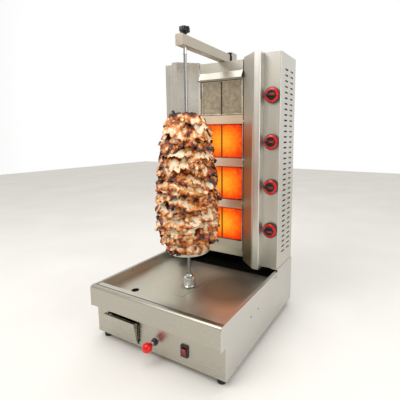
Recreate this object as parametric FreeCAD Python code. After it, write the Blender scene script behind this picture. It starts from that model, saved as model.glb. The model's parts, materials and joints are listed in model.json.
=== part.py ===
import FreeCAD, Part
import math
import os

# Vertical rotisserie broiler. Millimetres, +Z up, -Y is the side the cook stands at.
# The origin is on the floor, under the middle of the bounding box.

V = FreeCAD.Vector
X_AXIS = V(1, 0, 0)
Y_AXIS = V(0, 1, 0)
Z_AXIS = V(0, 0, 1)

# Sheet and base cabinet
SHEET = 1.5
HALF_WIDTH = 264.0
FRONT = -268.0
NOSE = -294.0
REAR = 292.0
FOOT_HEIGHT = 22.0
FOOT_R = 15.0
FOOT_X = 238.0
FOOT_Y = (-247.0, 262.0)
RIM_Z = 202.0
SEAT_Z = 208.0
APRON_LOW_Z = 129.0
COLUMN_FRONT = 131.5

# Drip tray
TRAY_FLOOR_Z = 167.0
TRAY_RIM_Z = 200.2
TRAY_HALF = 252.0
TRAY_RIM_HALF = 261.5
TRAY_FRONT = -273.0
TRAY_REAR = 287.0
DRAIN_AT = (-154.0, -193.0)
DRAIN_R = 13.5

# Burner column
BURNER_FACE = 155.0
BURNER_PITCH = 170.0
BURNER_TOP_MIDDLE = 864.0
BURNER_COUNT = 4
BURNER_HALF = 95.5
BURNER_HALF_HIGH = 68.0
FASCIA_HALF = 98.5
FASCIA_LOW = 253.0
COLUMN_TOP = 1009.0
HEADER_TOP = 1002.0
WING_TOP = 1008.0
COLUMN_IN = 194.0
COLUMN_OUT = 260.0
PLAQUE_FACE = 164.5
PLAQUE_THICK = 13.0
VENTURI_Y = 183.0

# Side vents of the column covers
SLOT_ROWS = 35
SLOT_LOW = 265.0
SLOT_PITCH = 20.26
SLOT_LONG = 32.0
SLOT_HIGH = 6.0
SLOT_MIDDLES = (191.0, 248.0)

# Knobs
KNOB_X = 230.5
KNOB_TOP = 859.0
KNOB_PITCH = 166.5
KNOB_R = 29.0
KNOB_GAP = 5.0
STEM_R = 4.0

# Spit and its drive
SPIT_Y = -77.0
SPIT_R = 5.5
SPIT_TOP = 982.0
DISC_Z = 306.0
DISC_R = 75.0
MEAT_TOP = 788.0
SHAFT_R = 7.0
TRAVEL = 60.0
RUNNING = 0.05
APART = 0.3
ROD_Z = 60.0
ROD_R = 5.0
BALL_Y = -302.0
BALL_R = 16.0
RAIL_X = (-42.0, 70.0)
RAIL_Z = 46.0
RAIL_R = 6.0
PLATE_Z = 62.0

# Gears: module and teeth of the two stages
FINE_MODULE = 1.0
COARSE_MODULE = 1.25
PINION_TEETH = 12
WHEEL_TEETH = 48
BACKLASH = 0.16
IDLER_AT = (26.516, SPIT_Y + 26.516)
ROTOR_AT = (IDLER_AT[0] + 30.0 * math.cos(math.radians(-30.0)),
            IDLER_AT[1] + 30.0 * math.sin(math.radians(-30.0)))

# Top arm
ARM_HALF = 15.0
ARM_LOW = 1004.0
ARM_HIGH = 1040.0
ARM_FRONT = -108.0
ARM_REAR = 202.0
ARM_WALL = 2.0
SCREW_R = 5.0
CLAMP_KNOB_Z = 1046.0
CLAMP_KNOB_TOP = 1069.0
PIN_TOP = 1016.0
PIN_LIFT = 10.0
BRACKET_FRONT = 212.0
BRACKET_REAR = 252.0

# Drawer
DRAWER_LEFT = -213.0
DRAWER_RIGHT = -67.0
DRAWER_LOW = 30.0
DRAWER_HIGH = 107.0
PAN_LENGTH = 284.0

# Rocker switch
SWITCH_X = 120.0
SWITCH_Z = 70.5

# Gas inlet
INLET_R = 10.5
INLET_TIP = 318.0
INLET_Z = 290.0
MANIFOLD_Y = 212.0

os.makedirs("parts", exist_ok=True)


def save(node, *shapes):
    """Write one sub-part: a single solid, or a group of separate solids."""
    shape = shapes[0] if len(shapes) == 1 else Part.makeCompound(list(shapes))
    shape.exportStep("parts/" + node + ".step")


def block(x0, x1, y0, y1, z0, z1):
    return Part.makeBox(x1 - x0, y1 - y0, z1 - z0, V(x0, y0, z0))


def rod(radius, start, end):
    """Round bar between two points."""
    a = V(*start)
    b = V(*end)
    return Part.makeCylinder(radius, (b - a).Length, a, b - a)


def tube(outer, inner, start, end):
    return rod(outer, start, end).cut(rod(inner, start, end))


def join(first, *others):
    return first.fuse(list(others)).removeSplitter()


def mirrored(shape):
    """The same piece on the other side of the middle plane."""
    return shape.mirror(V(0, 0, 0), X_AXIS)


def outline(points, radii):
    """Closed wire through points in one plane, each corner rounded by its own radius."""
    count = len(points)
    starts = []
    ends = []
    middles = []
    for i in range(count):
        here = points[i]
        back = (points[i - 1] - here).normalize()
        ahead = (points[(i + 1) % count] - here).normalize()
        half = back.getAngle(ahead) / 2.0
        if radii[i] <= 0.0:
            starts.append(here)
            ends.append(here)
            middles.append(None)
            continue
        reach = radii[i] / math.tan(half)
        bisector = (back + ahead).normalize()
        centre = here + bisector * (radii[i] / math.sin(half))
        starts.append(here + back * reach)
        ends.append(here + ahead * reach)
        middles.append(centre - bisector * radii[i])
    edges = []
    for i in range(count):
        if middles[i] is not None:
            edges.append(Part.Arc(starts[i], middles[i], ends[i]).toShape())
        following = starts[(i + 1) % count]
        if (following - ends[i]).Length > 1e-6:
            edges.append(Part.LineSegment(ends[i], following).toShape())
    return Part.Wire(edges)


def prism(points, radii, along):
    """Solid whose section is the rounded outline, pushed along a vector."""
    return Part.Face(outline(points, radii)).extrude(along)


def bent_sheet(path, along, place, thickness=SHEET, bend=2.0):
    """Sheet folded along an open path of (u, v) points; thickness grows to the path's left.

    place turns (u, v) into a point, and along is the length of the fold lines.
    """
    outer = []
    inner = []
    outer_radii = []
    inner_radii = []
    last = len(path) - 1
    for i, (u, v) in enumerate(path):
        before = None
        after = None
        if i > 0:
            before = V(u - path[i - 1][0], v - path[i - 1][1], 0).normalize()
        if i < last:
            after = V(path[i + 1][0] - u, path[i + 1][1] - v, 0).normalize()
        if before is None or after is None:
            run = after if before is None else before
            shift = V(-run.y, run.x, 0) * thickness
            turn = 0.0
        else:
            normal_a = V(-before.y, before.x, 0)
            normal_b = V(-after.y, after.x, 0)
            mid = (normal_a + normal_b).normalize()
            shift = mid * (thickness / mid.dot(normal_a))
            turn = before.x * after.y - before.y * after.x
        outer.append(place(u, v))
        inner.append(place(u + shift.x, v + shift.y))
        outer_radii.append(0.0 if turn == 0.0 else (bend + thickness if turn > 0 else bend))
        inner_radii.append(0.0 if turn == 0.0 else (bend if turn > 0 else bend + thickness))
    return prism(outer + inner[::-1], outer_radii + inner_radii[::-1], along)


def turned(profile, x, y):
    """Solid of revolution about the vertical line at x, y; profile holds (radius, z)."""
    points = [V(x + r, y, z) for r, z in profile]
    wire = Part.makePolygon(points + [points[0]])
    return Part.Face(wire).revolve(V(x, y, 0), Z_AXIS, 360)


def turned_y(profile, x, z):
    """Solid of revolution about the line along Y at x, z; profile holds (radius, y)."""
    points = [V(x + r, y, z) for r, y in profile]
    wire = Part.makePolygon(points + [points[0]])
    return Part.Face(wire).revolve(V(x, 0, z), Y_AXIS, 360)


def slot_row(x0, x1, y_middle, z_middle):
    """Rounded slot cutter lying along Y, through a wall between x0 and x1."""
    half = SLOT_HIGH / 2.0
    reach = SLOT_LONG / 2.0 - half
    body = block(x0, x1, y_middle - reach, y_middle + reach, z_middle - half, z_middle + half)
    caps = [rod(half, (x0, y_middle + s * reach, z_middle), (x1, y_middle + s * reach, z_middle))
            for s in (-1, 1)]
    return body.fuse(caps)


def gear(module, teeth, x, y, z0, z1, phase=0.0):
    """Spur gear with involute flanks, thinned by the backlash."""
    pitch_r = module * teeth / 2.0
    base_r = pitch_r * math.cos(math.radians(20.0))
    tip_r = pitch_r + module * 0.95
    root_r = pitch_r - module * 1.25

    def involute(r):
        if r <= base_r:
            return 0.0
        angle = math.acos(base_r / r)
        return math.tan(angle) - angle

    half_at_pitch = math.pi / (2.0 * teeth) - BACKLASH / (2.0 * pitch_r)
    low = max(base_r, root_r)
    flank = [low + (tip_r - low) * k / 5.0 for k in range(6)]
    points = []
    for tooth in range(teeth):
        middle = 2.0 * math.pi * tooth / teeth + phase
        half = {r: half_at_pitch + involute(pitch_r) - involute(r) for r in flank}
        polar = [(root_r, middle - half[low])]
        polar += [(r, middle - half[r]) for r in flank]
        polar += [(r, middle + half[r]) for r in reversed(flank)]
        polar += [(root_r, middle + half[low])]
        points += [V(x + r * math.cos(a), y + r * math.sin(a), z0) for r, a in polar]
    clean = [points[0]]
    for point in points[1:]:
        if (point - clean[-1]).Length > 1e-4:
            clean.append(point)
    return Part.Face(Part.makePolygon(clean + [clean[0]])).extrude(V(0, 0, z1 - z0))


def yz(x):
    return lambda u, v: V(x, u, v)


def xy(z):
    return lambda u, v: V(u, v, z)


def burner_middles():
    return [BURNER_TOP_MIDDLE - BURNER_PITCH * k for k in range(BURNER_COUNT)]


def knob_heights():
    return [KNOB_TOP - KNOB_PITCH * k for k in range(BURNER_COUNT)]


# ---------------------------------------------------------------- base cabinet

def base_floor():
    inside = HALF_WIDTH - SHEET
    floor = block(-inside, inside, FRONT + SHEET, REAR - SHEET, FOOT_HEIGHT, FOOT_HEIGHT + SHEET)
    for k in range(6):
        x = 60.0 + 26.0 * k
        floor = floor.cut(block(x, x + 8.0, 100.0, 180.0, FOOT_HEIGHT - 1, FOOT_HEIGHT + 3))
    save("base_floor", floor)


def front_panel():
    panel = block(-HALF_WIDTH + SHEET, HALF_WIDTH - SHEET, FRONT, FRONT + SHEET, FOOT_HEIGHT, 192.0)
    drawer = block(DRAWER_LEFT, DRAWER_RIGHT, FRONT - 1, FRONT + 3, DRAWER_LOW, DRAWER_HIGH)
    rod_hole = rod(8.5, (0, FRONT - 1, ROD_Z), (0, FRONT + 3, ROD_Z))
    switch = block(SWITCH_X - 11.2, SWITCH_X + 11.2, FRONT - 1, FRONT + 3,
                   SWITCH_Z - 17.2, SWITCH_Z + 17.2)
    save("front_panel", panel.cut([drawer, rod_hole, switch]))


def front_apron():
    half = HALF_WIDTH - SHEET - 0.1
    path = [(FRONT, APRON_LOW_Z), (NOSE, APRON_LOW_Z), (NOSE, RIM_Z - 4.0), (NOSE + 6.0, RIM_Z),
            (NOSE + 17.0, RIM_Z), (NOSE + 17.0, RIM_Z - 9.0)]
    points_in = [(FRONT, APRON_LOW_Z + SHEET), (NOSE + SHEET, APRON_LOW_Z + SHEET),
                 (NOSE + SHEET, RIM_Z - 4.6), (NOSE + 6.6, RIM_Z - SHEET),
                 (NOSE + 17.0 - SHEET, RIM_Z - SHEET), (NOSE + 17.0 - SHEET, RIM_Z - 9.0)]
    place = yz(-half)
    points = [place(u, v) for u, v in path] + [place(u, v) for u, v in reversed(points_in)]
    radii = [0, 3.0, 5.0, 5.0, 2.5, 0, 0, 1.0, 3.5, 3.5, 1.5, 0]
    save("front_apron", prism(points, radii, V(2 * half, 0, 0)))


def side_panel(node, right):
    """Side of the cabinet: an ear over the apron's end, a low front rim and a raised rear seat."""
    x0 = HALF_WIDTH - SHEET
    step_y = COLUMN_FRONT - 2.0
    points = [V(x0, FRONT, FOOT_HEIGHT), V(x0, REAR, FOOT_HEIGHT), V(x0, REAR, SEAT_Z),
              V(x0, step_y, SEAT_Z), V(x0, step_y, RIM_Z), V(x0, NOSE - 0.5, RIM_Z),
              V(x0, NOSE - 0.5, APRON_LOW_Z - 1.0), V(x0, FRONT, APRON_LOW_Z - 1.0)]
    plate = prism(points, [0, 0, 0, 0, 0, 14.0, 3.0, 0], V(SHEET, 0, 0))
    rim = block(HALF_WIDTH - 9.0, HALF_WIDTH - SHEET / 2, NOSE + 18.0, step_y, RIM_Z - 1.2, RIM_Z)
    seat = block(236.0, HALF_WIDTH - SHEET / 2, step_y, REAR, SEAT_Z - SHEET, SEAT_Z)
    slit = block(x0 - 1, HALF_WIDTH + 1, step_y - 2.2, step_y - 0.7, RIM_Z - 12.0, RIM_Z + 1)
    slit_run = block(x0 - 1, HALF_WIDTH + 1, step_y - 46.0, step_y - 0.7, RIM_Z - 12.0, RIM_Z - 10.6)
    panel = join(plate, rim, seat).cut([slit, slit_run])
    save(node, panel if right else mirrored(panel))


def base_back_panel():
    inside = HALF_WIDTH - SHEET
    panel = block(-inside, inside, REAR - SHEET, REAR, FOOT_HEIGHT, SEAT_Z - SHEET - 0.1)
    cuts = []
    for row in range(4):
        for k in range(7):
            x = -130.0 + 40.0 * k
            z = 60.0 + 16.0 * row
            cuts.append(block(x - 14.0, x + 14.0, REAR - 3, REAR + 1, z, z + 6.0))
    cuts.append(rod(8.1, (200, REAR - 3, 70), (200, REAR + 1, 70)))
    save("base_back_panel", panel.cut(cuts))


def drip_tray():
    """Shallow pan with a flat rim, a drain hole and a slot that the spit's shaft travels in."""
    top = TRAY_RIM_Z
    low = TRAY_FLOOR_Z - SHEET
    front_wall = TRAY_FRONT + 16.0
    slope = 12.0
    outer = [V(-TRAY_HALF, front_wall, top), V(-TRAY_HALF, front_wall + slope, low),
             V(-TRAY_HALF, TRAY_REAR - 8.0, low), V(-TRAY_HALF, TRAY_REAR - 8.0, top)]
    bowl = prism(outer, [0, 6.0, 6.0, 0], V(2 * TRAY_HALF, 0, 0))
    hollow_points = [V(-TRAY_HALF + SHEET, front_wall + SHEET, top + 1),
                     V(-TRAY_HALF + SHEET, front_wall + slope + SHEET - 0.3, TRAY_FLOOR_Z),
                     V(-TRAY_HALF + SHEET, TRAY_REAR - 8.0 - SHEET, TRAY_FLOOR_Z),
                     V(-TRAY_HALF + SHEET, TRAY_REAR - 8.0 - SHEET, top + 1)]
    hollow = prism(hollow_points, [0, 4.5, 4.5, 0], V(2 * (TRAY_HALF - SHEET), 0, 0))
    rim = block(-TRAY_RIM_HALF, TRAY_RIM_HALF, TRAY_FRONT, TRAY_REAR, top - SHEET, top)
    tray = join(bowl, rim).cut(hollow)
    slot_front = SPIT_Y - TRAVEL
    slot = join(block(-9.0, 9.0, slot_front, SPIT_Y, low - 1, TRAY_FLOOR_Z + 1),
                rod(9.0, (0, slot_front, low - 1), (0, slot_front, TRAY_FLOOR_Z + 1)),
                rod(9.0, (0, SPIT_Y, low - 1), (0, SPIT_Y, TRAY_FLOOR_Z + 1)))
    drain = rod(DRAIN_R, (*DRAIN_AT, low - 1), (*DRAIN_AT, TRAY_FLOOR_Z + 1))
    save("drip_tray", tray.cut([slot, drain]))


def feet():
    profile = [(0, 0), (FOOT_R - 2.5, 0), (FOOT_R - 1.0, 2.0), (FOOT_R, FOOT_HEIGHT - 5.0),
               (FOOT_R, FOOT_HEIGHT), (0, FOOT_HEIGHT)]
    save("feet", *[turned(profile, x, y) for x in (-FOOT_X, FOOT_X) for y in FOOT_Y])


def drain_spout():
    x, y = DRAIN_AT
    low = TRAY_FLOOR_Z - SHEET
    flange = tube(DRAIN_R + 8.0, DRAIN_R, (x, y, low - 2.0), (x, y, low))
    pipe = tube(DRAIN_R + 2.0, DRAIN_R, (x, y, 118.0), (x, y, low - 1.0))
    save("drain_spout", join(flange, pipe))


def drawer_guides():
    def guide(x_wall, x_lip):
        wall = block(min(x_wall, x_wall + 1.5), max(x_wall, x_wall + 1.5), FRONT + 3.0, 26.0, 23.5, 62.0)
        lip = block(min(x_wall, x_lip), max(x_wall, x_lip), FRONT + 3.0, 26.0, 30.0, 31.5)
        return join(wall, lip)

    save("drawer_guides", guide(-211.5, -200.0), guide(-70.0, -80.0))


def drawer_pan():
    x0 = -209.0
    x1 = -71.0
    y0 = FRONT + 2.5
    outer = block(x0, x1, y0, y0 + PAN_LENGTH, 31.9, 98.0)
    inner = block(x0 + 1.2, x1 - 1.2, y0 + 1.2, y0 + PAN_LENGTH - 1.2, 33.1, 99.0)
    save("drawer_pan", outer.cut(inner))


def drawer_front():
    """Sloping pull face that stands proud of the cabinet, open at the top for the fingers."""
    x0 = DRAWER_LEFT + 4.0
    x1 = DRAWER_RIGHT - 2.0
    path = [(FRONT + 2.5, 36.5), (FRONT - 9.0, 36.5), (FRONT - 21.0, 109.0), (FRONT - 13.5, 110.2),
            (FRONT - 12.3, 103.0)]
    face = bent_sheet(path, V(x1 - x0, 0, 0), yz(x0), thickness=-1.2, bend=1.0)
    cheek_points = [V(x0, FRONT - 9.0, 36.5), V(x0, FRONT - 21.0, 108.5), V(x0, FRONT - 7.0, 108.5),
                    V(x0, FRONT - 6.0, 36.5)]
    left = prism(cheek_points, [0, 0, 0, 0], V(1.2, 0, 0))
    right = left.translated(V(x1 - x0 - 1.2, 0, 0))
    back = block(x0 + 4.0, x1 - 4.0, FRONT + 1.0, FRONT + 2.5, 36.6, 95.0)
    save("drawer_front", join(face, left, right, back))


def panel_screws():
    screws = []
    for side in (-1, 1):
        for y in (-107.0, -51.0):
            screws.append(turned_head(side * HALF_WIDTH, y, 139.0, side))
        for y in (-111.0, 20.0):
            screws.append(turned_head(side * (TRAY_HALF - SHEET), y, 190.0, -side))
        screws.append(turned_head(side * HALF_WIDTH, COLUMN_FRONT - 18.0, 184.0, side))
    save("panel_screws", *screws)


def turned_head(x, y, z, side):
    """Low round screw head on a wall that faces along X."""
    head = Part.makeCylinder(3.4, 1.2, V(x, y, z), V(side, 0, 0))
    crown = Part.makeCone(3.4, 2.2, 0.9, V(x + side * 1.2, y, z), V(side, 0, 0))
    return join(head, crown)


def rod_grommet():
    profile = [(ROD_R + RUNNING, FRONT - 5.0), (10.0, FRONT - 5.0), (12.0, FRONT - 3.0),
               (12.0, FRONT), (8.4, FRONT), (8.4, FRONT + 6.0), (ROD_R + RUNNING, FRONT + 6.0)]
    save("rod_grommet", turned_y(profile, 0, ROD_Z))


def switch_housing():
    bezel = prism([V(SWITCH_X + u, FRONT - 4.5, SWITCH_Z + v)
                   for u, v in ((-13.5, -19.5), (13.5, -19.5), (13.5, 19.5), (-13.5, 19.5))],
                  [3.0] * 4, V(0, 4.5, 0))
    body = block(SWITCH_X - 11.0, SWITCH_X + 11.0, FRONT - 1, FRONT + 26.0,
                 SWITCH_Z - 17.0, SWITCH_Z + 17.0)
    well = block(SWITCH_X - 8.6, SWITCH_X + 8.6, FRONT - 6, FRONT + 16.0, SWITCH_Z - 14.6, SWITCH_Z + 14.6)
    tabs = [block(SWITCH_X + dx - 3.0, SWITCH_X + dx + 3.0, FRONT + 25, FRONT + 35.0,
                  SWITCH_Z + dz - 0.4, SWITCH_Z + dz + 0.4) for dx in (-5.0, 5.0) for dz in (-9.0, 9.0)]
    pivot = V(SWITCH_X, FRONT + 2.0, SWITCH_Z)
    pivot_hole = rod(1.65, pivot - V(10.1, 0, 0), pivot + V(10.1, 0, 0))
    save("switch_housing", join(bezel, body).cut([well, pivot_hole]).fuse(tabs))


def switch_rocker():
    """Rocker drawn in its off position, with the lower half pressed in, on two short trunnions."""
    pivot = V(SWITCH_X, FRONT + 2.0, SWITCH_Z)
    x0 = SWITCH_X - 8.2
    points = [V(x0, FRONT - 8.5, SWITCH_Z + 12.6), V(x0, FRONT - 5.6, SWITCH_Z),
              V(x0, FRONT - 8.5, SWITCH_Z - 12.6), V(x0, FRONT + 1.0, SWITCH_Z - 11.5),
              V(x0, FRONT + 8.0, SWITCH_Z), V(x0, FRONT + 1.0, SWITCH_Z + 11.5)]
    rocker = prism(points, [1.5, 12.0, 1.5, 1.0, 3.0, 1.0], V(16.4, 0, 0))
    rocker.rotate(pivot, X_AXIS, 9.0)
    trunnion = rod(1.5, pivot - V(9.8, 0, 0), pivot + V(9.8, 0, 0))
    save("switch_rocker", join(rocker, trunnion))


def cable_gland():
    profile = [(4.0, REAR - 8.0), (8.0, REAR - 8.0), (8.0, REAR), (12.0, REAR), (12.0, REAR + 5.0),
               (10.5, REAR + 6.0), (10.5, REAR + 13.0), (7.5, REAR + 18.0), (4.0, REAR + 18.0)]
    save("cable_gland", turned_y(profile, 200, 70))


# ------------------------------------------------------- spit drive under the tray

def carriage_rails():
    rails = []
    for x in RAIL_X:
        bar = rod(RAIL_R, (x, -235, RAIL_Z), (x, 50, RAIL_Z))
        ends = [block(x - 11, x + 11, y, y + 14, FOOT_HEIGHT + SHEET, RAIL_Z + 10) for y in (-249.0, 50.0)]
        rails.append(join(bar, *ends))
    save("carriage_rails", *rails)


def motor_carriage():
    """Plate on four slide bushes, with the lug that the pull rod screws into."""
    plate = block(-57.0, 86.0, -150.0, 20.0, PLATE_Z, PLATE_Z + 4.0)
    pieces = []
    bores = [rod(4.06, (0, SPIT_Y, PLATE_Z - 1), (0, SPIT_Y, PLATE_Z + 5)),
             rod(4.06, (*IDLER_AT, PLATE_Z - 1), (*IDLER_AT, PLATE_Z + 5))]
    for x in RAIL_X:
        for y in (-146.0, -12.0):
            pieces.append(block(x - 12, x + 12, y, y + 28, RAIL_Z - 11, PLATE_Z))
            bores.append(rod(RAIL_R + RUNNING, (x, y - 1, RAIL_Z), (x, y + 29, RAIL_Z)))
    pieces.append(block(-14.0, 14.0, -150.0, -134.0, 50.0, PLATE_Z))
    save("motor_carriage", join(plate, *pieces).cut(bores))


def gearbox_case():
    x0, x1, y0, y1 = -38.0, 84.0, -114.0, -20.0
    z0 = PLATE_Z + 4.0
    outer = prism([V(x0, y0, z0), V(x1, y0, z0), V(x1, y1, z0), V(x0, y1, z0)], [12.0] * 4, V(0, 0, 36))
    inner = prism([V(x0 + 3, y0 + 3, z0 - 1), V(x1 - 3, y0 + 3, z0 - 1), V(x1 - 3, y1 - 3, z0 - 1),
                   V(x0 + 3, y1 - 3, z0 - 1)], [9.0] * 4, V(0, 0, 34))
    boss = rod(7.0, (*IDLER_AT, z0 + 31.5), (*IDLER_AT, z0 + 35))
    bores = [rod(SHAFT_R + RUNNING, (0, SPIT_Y, z0 + 30), (0, SPIT_Y, z0 + 40)),
             rod(4.06, (*ROTOR_AT, z0 + 30), (*ROTOR_AT, z0 + 40)),
             rod(4.06, (*IDLER_AT, z0 + 28), (*IDLER_AT, z0 + 34.5))]
    save("gearbox_case", join(outer.cut(inner), boss).cut(bores))


def motor_casing():
    x, y = ROTOR_AT
    profile = [(4.06, 102.0), (29.0, 102.0), (30.0, 103.0), (30.0, 150.0), (27.0, 153.0), (0, 153.0),
               (0, 149.0), (26.0, 149.0), (26.0, 106.0), (4.06, 106.0)]
    save("motor_casing", turned(profile, x, y))


def motor_rotor():
    """Rotor core on its shaft, with the pinion cut at the shaft's lower end."""
    x, y = ROTOR_AT
    core = rod(22.0, (x, y, 110.0), (x, y, 145.0))
    shaft = rod(4.0, (x, y, 88.5), (x, y, 111.0))
    mesh = math.radians(150.0)
    pinion = gear(FINE_MODULE, PINION_TEETH, x, y, 88.0, 97.0, mesh)
    save("motor_rotor", join(core, shaft, pinion))


def idler_gear():
    """Compound gear: a large wheel driven by the motor and a small one that drives the spit."""
    x, y = IDLER_AT
    towards_rotor = math.radians(-30.0)
    half_tooth = math.pi / WHEEL_TEETH
    wheel = gear(FINE_MODULE, WHEEL_TEETH, x, y, 89.0, 96.0, towards_rotor + half_tooth)
    small = gear(COARSE_MODULE, PINION_TEETH, x, y, 76.0, 89.5, math.radians(225.0))
    axle = join(rod(4.0, (x, y, PLATE_Z + 0.5), (x, y, 99.5)), rod(5.5, (x, y, 66.5), (x, y, 76.5)))
    save("idler_gear", join(wheel, small, axle))


def output_gear():
    """Last wheel of the reduction on the vertical shaft that comes up through the tray."""
    half_tooth = math.pi / WHEEL_TEETH
    wheel = gear(COARSE_MODULE, WHEEL_TEETH, 0, SPIT_Y, 77.0, 86.0, math.radians(45.0) + half_tooth)
    shaft = rod(SHAFT_R, (0, SPIT_Y, 66.5), (0, SPIT_Y, 190.0))
    journal = rod(4.0, (0, SPIT_Y, PLATE_Z + 0.5), (0, SPIT_Y, 67.0))
    save("output_gear", join(wheel, shaft, journal))


def shaft_bearing():
    profile = [(SHAFT_R + RUNNING, 102.0), (19.0, 102.0), (19.0, 106.0), (14.0, 107.0), (14.0, 116.0),
               (SHAFT_R + RUNNING, 116.0)]
    save("shaft_bearing", turned(profile, 0, SPIT_Y))


def slot_cover():
    """Thin plate that slides over the tray's slot with the shaft, with a raised drip collar."""
    z0 = TRAY_FLOOR_Z + APART
    z1 = z0 + 0.9
    plate = prism([V(-27, -152, z0), V(27, -152, z0), V(27, -3, z0), V(-27, -3, z0)],
                  [8.0] * 4, V(0, 0, z1 - z0))
    collar = tube(29.5, 27.2, (0, SPIT_Y, z0), (0, SPIT_Y, z1 + 2.0))
    disc = rod(29.0, (0, SPIT_Y, z0), (0, SPIT_Y, z1))
    sleeve = rod(8.4, (0, SPIT_Y, 116.0), (0, SPIT_Y, z1))
    bore = rod(SHAFT_R + 0.4, (0, SPIT_Y, 115.0), (0, SPIT_Y, z1 + 1))
    save("slot_cover", join(plate, disc, sleeve, collar).cut(bore))


def pull_rod():
    save("pull_rod", join(rod(ROD_R, (0, BALL_Y + 12.0, ROD_Z), (0, -157.0, ROD_Z)),
                          rod(3.5, (0, -157.5, ROD_Z), (0, -150.0, ROD_Z))))


def ball_knob():
    ball = Part.makeSphere(BALL_R, V(0, BALL_Y, ROD_Z))
    neck = rod(8.0, (0, BALL_Y + 10.0, ROD_Z), (0, BALL_Y + 17.0, ROD_Z))
    bore = rod(ROD_R, (0, BALL_Y + 12.0, ROD_Z), (0, BALL_Y + 20.0, ROD_Z))
    save("ball_knob", join(ball, neck).cut(bore))


# ---------------------------------------------------------------- spit

def drive_coupling():
    """Stepped, knurled socket that carries the spit's foot."""
    z0 = TRAY_FLOOR_Z + 1.8
    profile = [(SHAFT_R, z0), (22.0, z0), (22.0, 175.0), (19.5, 177.5), (20.5, 179.0), (20.5, 203.0),
               (18.5, 205.0), (12.5, 207.5), (12.5, 214.0), (10.5, 217.0), (SPIT_R, 217.0),
               (SPIT_R, 190.0), (SHAFT_R, 190.0)]
    coupling = turned(profile, 0, SPIT_Y)
    flutes = []
    for k in range(12):
        a = 2.0 * math.pi * k / 12
        x = 21.6 * math.cos(a)
        y = SPIT_Y + 21.6 * math.sin(a)
        flutes.append(rod(1.9, (x, y, 180.0), (x, y, 206.0)))
    save("drive_coupling", coupling.cut(flutes))


def spit_rod():
    bar = rod(SPIT_R, (0, SPIT_Y, 190.0), (0, SPIT_Y, SPIT_TOP))
    socket = rod(3.05, (0, SPIT_Y, SPIT_TOP - 11.0), (0, SPIT_Y, SPIT_TOP + 1))
    save("spit_rod", bar.cut(socket))


def meat_disc():
    profile = [(SPIT_R, DISC_Z - 12.0), (12.0, DISC_Z - 12.0), (12.0, DISC_Z), (DISC_R - 2.0, DISC_Z),
               (DISC_R, DISC_Z + 1.5), (DISC_R, DISC_Z + 10.0), (DISC_R - 1.5, DISC_Z + 10.0),
               (DISC_R - 1.8, DISC_Z + 2.6), (SPIT_R, DISC_Z + 2.6)]
    save("meat_disc", turned(profile, 0, SPIT_Y))


def meat_stack():
    """Stacked slices of meat, as one round closed body with the spit through it."""
    low = DISC_Z + 2.6
    profile = [(SPIT_R, low), (70.0, low), (72.5, low + 12.0), (84.0, 345.0), (99.0, 400.0),
               (101.0, 470.0), (100.0, 540.0), (94.0, 610.0), (87.0, 680.0), (80.0, 735.0),
               (66.0, 770.0), (30.0, MEAT_TOP), (SPIT_R, MEAT_TOP)]
    save("meat_stack", turned(profile, 0, SPIT_Y))


# ---------------------------------------------------------------- top arm

def arm_tube():
    """Box-section arm, closed at the front, with the welded nut block for the clamp screw."""
    section = [V(-ARM_HALF, ARM_FRONT, ARM_LOW), V(ARM_HALF, ARM_FRONT, ARM_LOW),
               V(ARM_HALF, ARM_FRONT, ARM_HIGH), V(-ARM_HALF, ARM_FRONT, ARM_HIGH)]
    length = V(0, ARM_REAR - ARM_FRONT, 0)
    outer = prism(section, [3.0] * 4, length)
    inside = block(-ARM_HALF + ARM_WALL, ARM_HALF - ARM_WALL, ARM_FRONT + ARM_WALL, ARM_REAR + 1,
                   ARM_LOW + ARM_WALL, ARM_HIGH - ARM_WALL)
    nut_block = block(-ARM_HALF + 1, ARM_HALF - 1, SPIT_Y - 15.0, SPIT_Y + 15.0, ARM_LOW + 1, ARM_HIGH - 1)
    pin_room = PIN_TOP + PIN_LIFT + 4.0
    cuts = [rod(SPIT_R + 0.1 + RUNNING, (0, SPIT_Y, ARM_LOW - 1), (0, SPIT_Y, pin_room)),
            rod(SCREW_R + RUNNING, (0, SPIT_Y, pin_room - 1), (0, SPIT_Y, ARM_HIGH + 1)),
            rod(4.0, (8.0, -5.0, ARM_LOW - 1), (8.0, -5.0, ARM_LOW + 3))]
    save("arm_tube", join(outer.cut(inside), nut_block).cut(cuts))


def top_pin():
    """Centre pin: its thin tip runs in the top of the spit."""
    pin = rod(SPIT_R + 0.1, (0, SPIT_Y, SPIT_TOP + APART), (0, SPIT_Y, PIN_TOP))
    tip = rod(3.0, (0, SPIT_Y, SPIT_TOP - 9.0), (0, SPIT_Y, SPIT_TOP + 1))
    ring = tube(SPIT_R + 1.6, SPIT_R + 0.1, (0, SPIT_Y, SPIT_TOP + APART), (0, SPIT_Y, SPIT_TOP + 3.0))
    save("top_pin", join(pin, tip, ring))


def clamp_knob():
    """Six-lobed knob moulded on the clamp screw."""
    body = rod(15.5, (0, SPIT_Y, CLAMP_KNOB_Z + 3), (0, SPIT_Y, CLAMP_KNOB_TOP))
    lobes = []
    for k in range(6):
        a = math.pi * k / 3
        x = 13.0 * math.cos(a)
        y = SPIT_Y + 13.0 * math.sin(a)
        lobes.append(rod(6.0, (x, y, CLAMP_KNOB_Z + 5), (x, y, CLAMP_KNOB_TOP - 1.5)))
    hub = Part.makeCone(8.5, 12.0, 4.0, V(0, SPIT_Y, CLAMP_KNOB_Z), Z_AXIS)
    screw = rod(SCREW_R, (0, SPIT_Y, PIN_TOP + APART), (0, SPIT_Y, CLAMP_KNOB_Z + 2))
    save("clamp_knob", join(body, *lobes, hub, screw))


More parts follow.
